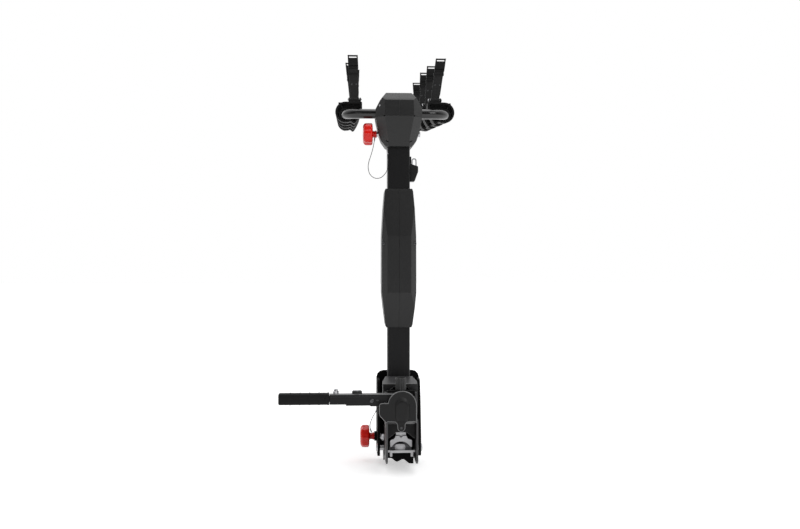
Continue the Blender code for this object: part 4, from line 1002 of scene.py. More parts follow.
@dataclass
class Cradle:
    """A moulded cradle round the arm: pocketed ends, padded saddle, hinge ears, anti-sway tip."""

    half: float = 0.028
    top: float = 0.03
    ring: float = 0.0238
    inner: float = 0.038
    wall: float = 0.0042
    pocket: float = 0.0125
    bore: float = 0.0116
    boss: float = 0.015
    trough: float = 0.019
    trough_up: float = 0.039
    hinge: Pair = (-0.02, 0.0355)
    strap_inward: float = 0.021
    strap_width: float = 0.021

    def wrap(self, inset: float) -> Outline:
        """Give the outer round of the front view."""
        return arc((0, self.top - self.ring), self.ring - inset, 90, 262, 26)

    def outline(self) -> Outline:
        """Give the front view, inwards and up.

        Returns:
            The outline.
        """
        tip = [
            (0.007, -0.0166), (0.01, -0.0152), (0.013, -0.0153), (0.0158, -0.018), (0.018, -0.0196),
            (0.0205, -0.0198), (0.023, -0.018), (0.0262, -0.0135), (0.03, -0.0072), (0.0335, 0.0),
            (0.0366, 0.007), (self.inner, 0.013), (self.inner, self.top - 0.002),
            (self.inner - 0.0006, self.top - 0.0006), (self.inner - 0.002, self.top),
        ]
        return self.wrap(0) + tip

    def pocket_outline(self) -> Outline:
        """Give the outline of the pockets in both ends.

        Returns:
            The outline.
        """
        edge = self.inner - self.wall
        tip = [(0.01, -0.0108), (0.015, -0.0118), (0.02, -0.0148), (0.0216, -0.014), (0.0285, -0.002)]
        return self.wrap(self.wall) + tip + [(edge - 0.001, 0.013), (edge, self.top - self.wall)]

    def body(self) -> Piece:
        """Make the moulded block.

        Returns:
            The block.
        """
        block = rounded(prism("cradle", Plane.XZ, self.outline(), -self.half, self.half), 0.0012, 3, 50)
        cutters = []
        for end in ENDS:
            low, high = sorted((end * (self.half - self.pocket), end * (self.half + 0.01)))
            cutters.append(prism("pocket", Plane.XZ, self.pocket_outline(), low, high))
        for y in (-0.0095, 0.0, 0.0095):
            belt = self.wrap(-0.003) + [(0.002, -0.03), (0.002, self.top)]
            core = self.wrap(0.0013) + [(0.02, -0.0163), (0.02, self.top)]
            belt = prism("belt", Plane.XZ, belt, y - 0.0021, y + 0.0021)
            core = prism("core", Plane.XZ, core, y - 0.01, y + 0.01)
            cutters.append(carved(belt, core, slab("above", (-0.05, -0.05, 0.006), (0.05, 0.05, 0.06))))
        up = self.trough_up
        cutters.append(barrel("trough", (-0.06, 0, up), (0.06, 0, up), self.trough, 56))
        carved(block, *cutters)
        inside = self.half - 0.0016
        boss = rounded(barrel("boss", (0, -inside, 0), (0, inside, 0), self.boss, 40), 0.0006)
        ribs = [self.rib(angle) for angle in (118, 168, 218, 335)]
        reach = self.strap_width / 2 + 0.0038
        lip = slab(
            "lip", (self.strap_inward - reach, -0.0276, self.top - 0.002),
            (self.strap_inward + reach, -0.0247, self.hinge[1] - 0.0006),
        )
        welded(block, boss, *ribs, self.ear(-1), self.ear(1), rounded(lip, 0.0009))
        return carved(block, barrel("arm_way", (0, -0.05, 0), (0, 0.05, 0), self.bore, 40))

    def rib(self, angle: float) -> Piece:
        """Make a thin web from the boss to the wall, at this angle in degrees from inwards.

        Args:
            angle: The angle.

        Returns:
            The web.
        """
        outer = angle < 262
        direction = Vector((math.cos(math.radians(angle)), 0, math.sin(math.radians(angle))))
        side = Vector((-direction.z, 0, direction.x)) * 0.0009
        start = direction * (self.boss - 0.002)
        end = direction * (self.ring - 0.001 if outer else self.ring + 0.003)
        end += Vector((0, 0, self.top - self.ring if outer else 0)) * 0.8
        corners = [start - side, start + side, end + side, end - side]
        deep = self.half - 0.0035
        return loft("rib", [[(p.x, y, p.z) for p in corners] for y in (-deep, deep)])

    def ear(self, end: int) -> Piece:
        """Make the rounded hinge ear at one end of the hinge.

        Args:
            end: Minus one or one.

        Returns:
            The ear.
        """
        y, z = self.hinge
        reach = self.strap_width / 2 + 0.0008
        low, high = sorted((self.strap_inward + end * reach, self.strap_inward + end * (reach + 0.003)))
        foot = self.top - 0.003
        outline = [(y + 0.0046, foot), (y - 0.0046, foot)] + arc((y, z), 0.0041, 180, 0, 12)
        return rounded(prism("ear", Plane.YZ, outline, low, high), 0.0005)

    def pad(self) -> Piece:
        """Make the ribbed rubber pad that lines the saddle.

        Returns:
            The pad.
        """
        steps, spread = 44, math.radians(54)
        outer, inner = [], []
        for i in range(steps + 1):
            angle = -math.pi / 2 - spread + 2 * spread * i / steps
            wave = 0.0007 if i % 4 in (1, 2) else 0
            for line, reach in ((outer, self.trough - 0.0002), (inner, self.trough - 0.0017 - wave)):
                line.append((reach * math.cos(angle), self.trough_up + reach * math.sin(angle)))
        pad = prism("pad", Plane.YZ, outer + inner[::-1], -0.0165, self.inner - 0.0015)
        return rounded(pad, 0.0003, 1, 60)

    def pin(self) -> Piece:
        """Make the hinge pin with its two domed heads.

        Returns:
            The pin.
        """
        middle, reach = self.strap_inward, self.strap_width / 2 + 0.0055
        start, end = (middle - reach, *self.hinge), (middle + reach, *self.hinge)
        parts = [barrel("hinge_rod", start, end, 0.0018, 20)]
        profile = (
            (0.0001, 0.0016), (0.0014, 0.0014), (0.0026, 0.0006), (0.0029, 0), (0.0029, -0.0006),
            (0.0001, -0.0006),
        )
        for way in ENDS:
            start = (middle + way * (reach - 0.0012), *self.hinge)
            parts.append(turned("head", start, (way, 0, 0), profile, 24))
        return joined("hinge_pin", parts)


@dataclass
class Arms:
    """The two folding arms with their caps, and on each four cradles with their straps."""

    fold: Pair = (0.098, 0.743)
    half_spacing: float = 0.114
    shift: float = -0.005
    bend: float = 0.042
    length: float = 0.64
    radius: float = 0.011
    tilt: float = math.radians(6)
    first: float = 0.073
    pitch: float = 0.17
    straps: dict[Side, Strap] = field(
        default_factory=lambda: {
            Side.LEFT: Strap(0.1362, (-2.7, -5.8, 2.0, 2.8)),
            Side.RIGHT: Strap(0.1305, (7.7, 3.9, 1.4, -3.5), 0.87),
        }
    )

    def corner(self, side: Side) -> Vector:
        """Give where the arm's line meets the cross tube's line."""
        return Vector((side.value * self.half_spacing + self.shift, *self.fold))

    @property
    def along(self) -> Vector:
        """The arms' direction."""
        return Vector((0, math.cos(self.tilt), math.sin(self.tilt)))

    def place(self, side: Side, k: int) -> Matrix:
        """Give the frame of cradle k, from the arm's axis."""
        centre = self.corner(side) + self.along * (self.first + k * self.pitch)
        return Matrix.Translation(centre) @ Matrix.Rotation(self.tilt, 4, "X")

    def build(self) -> None:
        """Make both arms and all that they carry."""
        cradle = Cradle()
        fixed = {
            "cradle": (cradle.body(), SOFT_RUBBER), "pad": (cradle.pad(), PAD_RUBBER),
            "pin": (cradle.pin(), ZINC),
        }
        for side in Side:
            self.tube(side)
            self.cap(side)
            strap = self.straps[side]
            moving = {
                "tongue": (strap.tongue(), STRAP_RUBBER), "buckle": (strap.buckle(), SOFT_RUBBER),
                "rivets": (strap.rivets(), DARK_ZINC_AND_PAINTED_SHADE),
            }
            for k in range(len(strap.leans)):
                place, number = self.place(side, k), f"{side.word}_{k + 1}"
                for name, (form, finish) in fixed.items():
                    piece = copied(form, f"{name}_{number}")
                    if side is Side.RIGHT:
                        piece.data.transform(Matrix.Scale(-1, 4, (1, 0, 0)))
                        piece.data.flip_normals()
                    piece.data.transform(place)
                    dress(piece, finish, "arms", *([f"cradle_{number}"] if name == "cradle" else []))
                hinge = Matrix.Translation((-side.value * cradle.strap_inward, *cradle.hinge))
                node = f"strap_{number}"
                for name, (form, finish) in moving.items():
                    piece = copied(form, f"{name}_{number}")
                    piece.data.transform(place @ hinge @ strap.lean(k))
                    dress(piece, finish, body_of(node), *([node] if name == "tongue" else []))
            removed(*(form for form, _ in moving.values()))
        removed(*(form for form, _ in fixed.values()))

    def tube(self, side: Side) -> None:
        """Make one bent tube.

        Args:
            side: Which arm.
        """
        corner, along, outward = self.corner(side), self.along, Vector((side.value, 0, 0))
        centre = corner - outward * self.bend + along * self.bend
        points = [Vector((side.value * 0.0003, *self.fold))]
        for angle in (math.pi / 2 * i / 28 for i in range(29)):
            points.append(centre + self.bend * (outward * math.sin(angle) - along * math.cos(angle)))
        points.append(corner + along * self.length)
        rings = [circle(*place, self.radius, 48) for place in carried(points)]
        dress(loft("arm_tube_" + side.word, rings), ARM_GLOSS, "arms", "arm_" + side.word, angle=50)

    def cap(self, side: Side) -> None:
        """Make the ribbed rubber cap on the arm's end.

        Args:
            side: Which arm.
        """
        near, wide = self.radius + 0.0003, self.radius + 0.002
        profile = [(0.0001, 0.0003), (near, 0.0003), (near, -0.0148)]
        profile += [(wide - 0.0006, -0.015), (wide, -0.0142)]
        for start in (-0.012, -0.009, -0.006):
            profile += [(wide, start), (wide - 0.0007, start + 0.0004), (wide - 0.0007, start + 0.0012)]
            profile.append((wide, start + 0.0016))
        profile += [(wide, 0.0016), (wide - 0.0009, 0.0028), (wide - 0.0028, 0.0033), (0.004, 0.0033)]
        profile.append((0.0001, 0.003))
        end = self.corner(side) + self.along * self.length
        piece = turned("arm_end_cap_" + side.word, end, self.along, profile, 44)
        dress(piece, SOFT_RUBBER, "arms", "arm_cap_" + side.word, angle=40)


@dataclass(frozen=True)
class Section:
    """One level of a faceted cover: half width, half width of its front facet, and the front's place."""

    height: float
    wide: float
    facet: float
    front: float

    def ring(self, centre: float, inset: float) -> list[Point]:
        """Give the section's eight corners, or with an inset those of the wall's inside.

        Args:
            centre: The mast's centre.
            inset: Thickness of the wall.

        Returns:
            The corners in order.
        """
        wide, facet, front = self.wide - inset, self.facet - 0.45 * inset, self.front + inset
        shoulder = min(front + 1.2 * (wide - facet), centre - 0.004)
        back, back_shoulder = 2 * centre - front, 2 * centre - shoulder
        corners = [
            (-facet, front), (facet, front), (wide, shoulder), (wide, back_shoulder),
            (facet, back), (-facet, back), (-wide, back_shoulder), (-wide, shoulder),
        ]
        return [(x, y, self.height) for x, y in corners]


def levels(*rows: Point) -> tuple[Section, ...]:
    """Give the sections of these rows."""
    return tuple(Section(*row) for row in rows)


def edges_at(axis: int, level: float) -> Test:
    """Name the edges that lie on a level of an axis, 0 to 2."""
    return lambda middle, run: abs(middle[axis] - level) < ON_LEVEL and abs(run[axis]) < 0.01


@dataclass
class Mast:
    """The mast's covers with their seams and screws, and the lock cable's anchor."""

    centre: float = 0.098
    half: float = 0.0253
    wall: float = 0.0025
    seam: float = 0.00035
    head_seam: float = 0.731
    pin_z: float = 0.697
    arm_z: float = 0.743
    mid_screw: Triple = (0.0352, 0.0588, 0.4492)
    mid_screw_out: Triple = (0.77, -0.64, 0)
    lid_screw: Triple = (-0.0432, 0.0585, 0.756)
    lid_screw_out: Triple = (-0.7, -0.6, 0.25)
    seam_hole: float = 0.0335
    lower_slot: Pair = (0.0262, 0.6768)
    middle: Sequence[Section] = levels(
        (0.262, 0.0283, 0.0277, 0.07), (0.268, 0.0304, 0.0298, 0.068), (0.306, 0.0349, 0.0342, 0.057),
        (0.34, 0.0386, 0.0262, 0.048), (0.466, 0.0382, 0.0262, 0.048), (0.528, 0.0349, 0.0342, 0.0595),
        (0.566, 0.0318, 0.0312, 0.0676), (0.572, 0.03, 0.0294, 0.07),
    )
    upper: Sequence[Section] = levels(
        (0.7, 0.052, 0.032, 0.043), (0.75, 0.052, 0.032, 0.0435), (0.7665, 0.043, 0.032, 0.046),
        (0.772, 0.0388, 0.0366, 0.0515), (0.786, 0.0292, 0.0272, 0.07),
    )
    lower: Sequence[Section] = levels(
        (0.6655, 0.029, 0.0232, 0.0655), (0.68, 0.04, 0.0228, 0.0585), (0.697, 0.0455, 0.0258, 0.052),
        (0.731, 0.052, 0.032, 0.043), (0.76, 0.056, 0.038, 0.038),
    )

    def build(self) -> None:
        """Make the covers, and dress the lock cable's anchor and its wire bail."""
        self.middle_cover()
        self.head_upper()
        self.head_lower()
        dress(refined("cable_anchor", "anchor_body", 0.0007, 3), COATED_STEEL, "mast", "cable_anchor")
        dress(refined("anchor_bail", "anchor_wire", 0.0001, 1), ZINC, "mast", "anchor_bail")

    def solid(self, name: str, sections: Sequence[Section], inset: float = 0.0) -> Piece:
        """Loft a faceted solid through sections."""
        return loft(name, [section.ring(self.centre, inset) for section in sections])

    def mast_way(self, low: float, high: float) -> Piece:
        """Make the square room that the mast passes through."""
        near, far = self.centre - self.half, self.centre + self.half
        return slab("mast_way", (-self.half, near, low), (self.half, far, high))

    def cross_way(self, name: str, z: float, radius: float) -> Piece:
        """Make the cutter of a round way across the head."""
        return barrel(name, (-0.08, self.centre, z), (0.08, self.centre, z), radius)

    def middle_cover(self) -> None:
        """Make the cover's two halves, which meet on the centre line, and its two side screws."""
        low, high = self.middle[0].height, self.middle[-1].height
        block = rounded(self.solid("mid", self.middle), 0.001, 3, 8)
        foot, top = levels(
            (low + self.wall, 0.0304, 0.0298, 0.068), (high - self.wall, 0.0318, 0.0312, 0.0676)
        )
        room = self.solid("room", (foot, *self.middle[2:-2], top), self.wall)
        carved(block, room, self.mast_way(low - 0.01, high + 0.01))
        for side in Side:
            place = Vector((side.value * self.mid_screw[0], *self.mid_screw[1:]))
            out = Vector((side.value * self.mid_screw_out[0], *self.mid_screw_out[1:])).normalized()
            welded(block, barrel("boss", place - out * 0.003, place - out * 0.0012, 0.0072))
            carved(block, barrel("recess", place - out * 0.0014, place + out * 0.01, 0.0056))
            name = "mid_screw_" + side.word
            screw = screw_head(name, place - out * 0.0014, out, 0.0042, 0.0022, 0.0022)
            dress(screw, DARK_ZINC_AND_PAINTED_SHADE, "mast")
        for side in Side:
            half = self.kept_side(copied(block, "mid_" + side.word), side)
            dress(half, MOULDED_BLACK, "mast", "mid_cover_" + side.word)
        removed(block)

    def kept_side(self, piece: Piece, side: Side) -> Piece:
        """Cut the piece just short of the centre plane, close it, and break its seam's edges.

        Args:
            piece: The whole cover.
            side: The side to keep.

        Returns:
            The half.
        """
        face, outward = side.value * self.seam / 2, (side.value, 0, 0)
        only(piece, "EDIT")
        bpy.ops.mesh.select_all(action="SELECT")
        bpy.ops.mesh.bisect(plane_co=(face, 0, 0), plane_no=outward, use_fill=True, clear_inner=True)
        done()
        return eased(piece, 0.0003, 2, edges_at(0, face))

    def head_upper(self) -> None:
        """Make the head's lid, with a shallow seam along its middle and the arms' ways."""
        lid = rounded(self.solid("lid", self.upper), 0.0007, 2, 8)
        level, wide = self.head_seam + self.seam / 2, 0.0122
        foot, top = levels((0.69, 0.052, 0.032, 0.043), (0.7825, 0.0325, 0.03, 0.065))
        room = self.solid("room", (foot, *self.upper[1:3], top), 0.003)
        below = slab("below", (-0.1, 0, 0.6), (0.1, 0.2, level))
        gate = slab("gate", (-0.08, self.centre - wide, 0.7), (0.08, self.centre + wide, self.arm_z))
        split = slab("split", (-0.00018, 0, 0.7), (0.00018, self.centre - 0.004, 0.7815))
        arm = self.cross_way("arm_way", self.arm_z, wide)
        carved(lid, room, below, arm, gate, split, *self.seam_holes())
        place, out = Vector(self.lid_screw), Vector(self.lid_screw_out).normalized()
        carved(lid, barrel("recess", place - out * 0.0012, place + out * 0.01, 0.0032))
        eased(lid, 0.0003, 2, edges_at(2, level))
        dress(lid, MOULDED_BLACK, "mast", "head_cover_upper")
        dress(screw_head("lid_screw", place - out * 0.0012, out, 0.0026, 0.0018, 0.0013), ZINC, "mast")

    def head_lower(self) -> None:
        """Make the head's lower cover, with its two slots and the pin's ways."""
        cover = rounded(self.solid("lower", self.lower), 0.0012, 3, 8)
        level = self.head_seam - self.seam / 2
        room = self.solid("room", (*levels((0.6685, 0.0312, 0.0232, 0.064)), *self.lower[1:]), 0.003)
        above = slab("above", (-0.1, 0, level), (0.1, 0.2, 0.8))
        pin = self.cross_way("pin_way", self.pin_z, 0.007)
        carved(cover, room, above, pin, self.mast_way(0.64, 0.69), *self.seam_holes())
        carved(cover, *(self.slot(side) for side in ENDS))
        eased(cover, 0.0003, 2, edges_at(2, level))
        dress(cover, MOULDED_BLACK, "mast", "head_cover_lower")

    def seam_holes(self) -> list[Piece]:
        """Make the cutters of the two small holes on the seam."""
        ends = [[(side * self.seam_hole, y, self.head_seam) for y in (0.03, 0.075)] for side in ENDS]
        return [barrel("seam_hole", start, end, 0.0017, 24) for start, end in ends]

    def slot(self, side: int) -> Piece:
        """Make the cutter of one slanted slot near the head's bottom.

        Args:
            side: Minus one or one.

        Returns:
            The cutter.
        """
        lengthwise, tall = Vector((side * 0.87, 0, 0.49)), Vector((-side * 0.49, 0, 0.87))
        middle = Vector((side * self.lower_slot[0], 0, self.lower_slot[1]))
        turns = ((-1, -1), (1, -1), (1, 1), (-1, 1))
        corners = [middle + lengthwise * a * 0.0042 + tall * b * 0.001 for a, b in turns]
        return loft("slot", [[(p.x, y, p.z) for p in corners] for y in (0.04, 0.074)])


@dataclass
class Coupler:
    """What clamps on the ball: domed cover, jaw and its guides, hood, and the adjuster above."""

    lever_z: float = 0.107
    dome: float = 0.0304
    face: float = -0.0613
    back: float = -0.0573
    rib_half: float = 0.015
    bottom: float = 0.0685
    screw: Pair = (-0.002, 0.06)
    tongue: float = 0.0084
    hood_half: float = 0.038
    hood_front: float = 0.022
    hood_back: float = 0.0727
    hood_narrow: float = 0.0305
    hood_edge: Pair = (0.1425, 0.153)
    hood_arch: float = 0.0305
    adjuster_y: float = -0.002
    adjuster_low: float = 0.1313
    adjuster_high: float = 0.1583
    adjuster_radius: float = 0.01178
    flutes: int = 12

    def build(self) -> None:
        """Make every visible piece of the coupler."""
        self.cover()
        self.jaw()
        self.jaw_guide()
        self.neck_guide()
        self.hood()
        self.adjuster()

    def cover_outline(self) -> Outline:
        """Give the cover's front view, its notches and tongue included.

        Returns:
            The outline.
        """
        low = self.bottom
        right = [(self.dome, low + 0.001), (0.0262, low + 0.004)]
        right += arc((0.014, low - 0.0035), 0.0075, 88, 172, 7)
        left = arc((-0.018, low - 0.0038), 0.0075, 8, 92, 7)
        left += [(-0.0305, low + 0.004), (-0.0336, low + 0.0012), (-0.0472, 0.085), (-0.0489, 0.089)]
        ear = arc((-0.0429, 0.106), 0.006, 180, 90, 6) + [(-0.03, 0.112)]
        start = 180 - math.degrees(math.asin(0.005 / self.dome))
        dome = arc((0, self.lever_z), self.dome, start - 3, 0, 40)
        return dome + right + arc(self.screw, self.tongue, -8, -172, 14) + left + ear

    def cover(self) -> None:
        """Make the domed cover with its wide rounded rim, raised rib and screw."""
        plate = prism("cover", Plane.XZ, self.cover_outline(), self.face, self.back)
        eased(plate, 0.0014, 4, edges_at(1, self.face), clamp_overlap=False)
        steps = (
            (-0.002, 0.0, 0.0), (0.0, 0.0, 0.0), (0.0024, 0.0016, 0.0036), (0.0035, 0.0032, 0.007),
            (0.004, 0.0052, 0.0102),
        )
        rings = []
        for depth, inset, drop in steps:
            half, foot = self.rib_half - inset, self.bottom + 0.0045 + inset * 0.6
            outline = arc((0, self.lever_z + 0.0015 - drop + inset), half, 0, 180, 28)
            outline += [(-half, foot + 0.0075), (-half + 0.0042, foot)]
            outline += [(half - 0.0042, foot), (half, foot + 0.0075)]
            rings.append([(x, self.face - depth, z) for x, z in outline])
        welded(plate, loft("rib", rings))
        x, z = self.screw
        seat = (x, self.face + 0.0012, z)
        carved(plate, barrel("screw_way", (x, -0.08, z), seat, 0.0034))
        dress(plate, COVER_BLACK, "coupler", "clamp_cover", angle=30)
        # Painted highlight: the rib's upward faces take the lighter moulded finish, as if lit from above.
        tinted(plate, MOULDED_BLACK, lambda at, way: way.z > 0.15 and way.y > -0.985 and at.y < -0.0614)
        # Painted highlight on the rounded rim along the cover's face.
        tinted(plate, PAINTED_EDGE_HIGHLIGHT, lambda at, way: -0.99 < way.y < 0.3 and -0.06128 < at.y < -0.059)
        dress(screw_head("cover_screw", seat, FORWARD, 0.0029, 0.0016, 0.0014), DARK_ZINC_AND_PAINTED_SHADE, "coupler")

    def jaw(self) -> None:
        """Make the cast jaw: a stem that flares into two shoulders over the hollow for the ball."""
        half, shoulder, low, stem = 0.0235, 0.0255, 0.0112, 0.0105
        flare = arc((half - 0.003, shoulder + 0.0098), 0.0085, -92, -176, 9)
        right = [(half, low), (half, shoulder - 0.0008), (half - 0.0008, shoulder)]
        right += [*flare, (stem, 0.0351)]
        body = prism("jaw", Plane.XZ, mirrored(right), -0.015, 0.02)
        welded(body, slab("stem", (-stem, -0.0099, 0.03), (stem, 0.0099, 0.0862)))
        bpy.ops.mesh.primitive_uv_sphere_add(segments=64, ring_count=32, radius=0.0253)
        ball = settled(bpy.context.object, "ball_cutter")
        arch = prism("jaw_arch", Plane.XZ, arc((0, 0.0016), 0.0226, -30, 210, 40), -0.016, -0.0112)
        recess = barrel("hex_recess", (0, -0.016, 0.035), (0, -0.0086, 0.035), 0.0036, 6)
        pieces = [rounded(carved(body, ball, arch, recess), 0.0005, 3, 30)]
        for side in ENDS:
            near, far = sorted((side * 0.013, side * 0.0205))
            ledge = slab("ledge", (near, -0.0135, shoulder - 0.001), (far, 0.008, shoulder + 0.0023))
            pieces.append(rounded(ledge, 0.0004))
        casting = dress(joined("jaw_casting", pieces), CAST_ZINC, "jaw", "upper_jaw")
        # Painted shade: the faces inside the ball's hollow take the dark zinc.
        tinted(casting, DARK_ZINC_AND_PAINTED_SHADE, lambda at, way: at.length < 0.0256 and way.dot(at) < 0)

    def jaw_guide(self) -> None:
        """Make the black block that guides the jaw's stem, its top edge broken by a wide chamfer."""
        inside, low, high = 0.0297, 0.03, 0.066
        right = [(0.0115, 0.044), (inside, low), (inside, high)]
        block = prism("stem_guide", Plane.XZ, mirrored(right), -0.024, 0.0117)
        top = high - ON_LEVEL
        eased(block, 0.0042, 1, lambda at, run: at.z > top and at.y < -0.0239 and abs(run.x) > 0.9)
        carved(block, slab("stem_way", (-0.0115, -0.0103, 0.02), (0.0115, 0.0103, 0.08)))
        dress(rounded(block, 0.0005, 2, 20), COATED_STEEL, "coupler", "jaw_guide")
        # Painted highlight on the chamfer and bevels that face forwards.
        tinted(block, PAINTED_EDGE_HIGHLIGHT, lambda at, way: way.y < -0.3 and abs(way.z) > 0.3)

    def neck_guide(self) -> None:
        """Make the bright bar with two legs in front of the ball's neck."""
        right = [
            (0.0195, 0.0017), (0.0195, -0.0064), (0.0252, -0.0064), (0.0252, 0.003), (0.0295, 0.003),
            (0.0295, 0.0075),
        ]
        bar = prism("neck_bar", Plane.XZ, mirrored(right), -0.0309, -0.0271)
        dress(rounded(bar, 0.0007, 3), CAST_ZINC, "coupler", "neck_guide")

    def hood(self) -> None:
        """Make the hood in front of the mast's foot, with its rimmed arch over the lever's pivot."""
        block = rounded(self.hood_form(0.0, 0.075), 0.0014, 4, 20)
        carved(block, self.hood_form(0.003, 0.06))
        middle, room = self.lever_z, self.hood_half - 0.003
        ring = arc((0, middle), self.hood_arch, 0, 360, 71)[:-1]
        hole = loft("arch", [[(x, y, z) for x, z in ring] for y in (0.0, 0.04)])
        flare = loft(
            "flare",
            [
                [(x * k, y, middle + (z - middle) * k) for x, z in ring]
                for y, k in ((0.0214, 1.075), (0.0238, 1.0))
            ],
        )
        carved(block, hole, flare, slab("below", (-room, 0, 0.05), (room, 0.04, 0.1112)))
        dress(block, MOULDED_BLACK, "mast", "foot_hood", angle=30)
        # Painted highlight on the flared rim of the arch.
        tinted(
            block, PAINTED_EDGE_HIGHLIGHT,
            lambda at, way: at.y < 0.0236 and -0.9 < way.y < -0.1 and abs(at.x) < 0.034,
        )
        # Painted light from above: the hood's top faces take a lighter grey.
        tinted(block, CUT_EDGE_AND_PAINTED_LIGHT, lambda at, way: way.z > 0.9 and at.z > 0.14)
        # Painted highlight along the hood's front left edge only.
        tinted(block, PAINTED_EDGE_HIGHLIGHT, lambda at, way: way.x < -0.25 and way.y < -0.25 and at.z < 0.141)

    def hood_form(self, inset: float, bottom: float) -> Piece:
        """Make the hood's outer form, or with an inset the room inside it.

        Args:
            inset: Thickness of the hood's wall.
            bottom: Height of its lower end.

        Returns:
            The form.
        """
        half, front = self.hood_half - inset, self.hood_front + inset
        back = self.hood_back + (0.02 if inset else 0)
        low, high = self.hood_edge
        narrow, slope = self.hood_narrow - inset, (high - low) / (self.hood_back - self.hood_front)
        plan = [(-half, front), (half, front), (half, 0.04), (narrow, self.hood_back)]
        plan += [(narrow, back + 0.0001), (-narrow, back + 0.0001)]
        plan += [(-narrow, self.hood_back), (-half, 0.04)]
        if not inset:
            plan = [plan[i] for i in (0, 1, 2, 3, 6, 7)]
        top = [(x, y, low - inset + (y - self.hood_front) * slope) for x, y in plan]
        return loft("hood", [[(x, y, bottom) for x, y in plan], top])

    def adjuster(self) -> None:
        """Make the fluted column on its threaded rod."""
        low, high, wide = self.adjuster_low, self.adjuster_high, self.adjuster_radius
        sections = (
            (low, 0.0105, 0.6), (low + 0.0008, wide, 1.0), (high - 0.0016, wide, 1.0),
            (high - 0.0006, 0.0111, 0.8), (high, 0.01, 0.2), (high, 0.006, 0.0),
            (high - 0.002, 0.0055, 0.0), (high - 0.002, 0.0005, 0.0),
        )
        rings = []
        steps = 8 * self.flutes
        for z, radius, share in sections:
            ring = []
            for angle in (FULL * i / steps for i in range(steps)):
                reach = radius - 0.0013 * share * (0.5 + 0.5 * math.cos(self.flutes * angle)) ** 1.5
                ring.append((reach * math.cos(angle), self.adjuster_y + reach * math.sin(angle), z))
            rings.append(ring)
        column = loft("adjuster_column", rings)
        rod = barrel("rod", (0, self.adjuster_y, 0.1212), (0, self.adjuster_y, low + 0.003), 0.0039)
        dress(joined("adjuster_column", [column, rod]), SMOOTH_BLACK, "adjuster", "adjuster", angle=32)


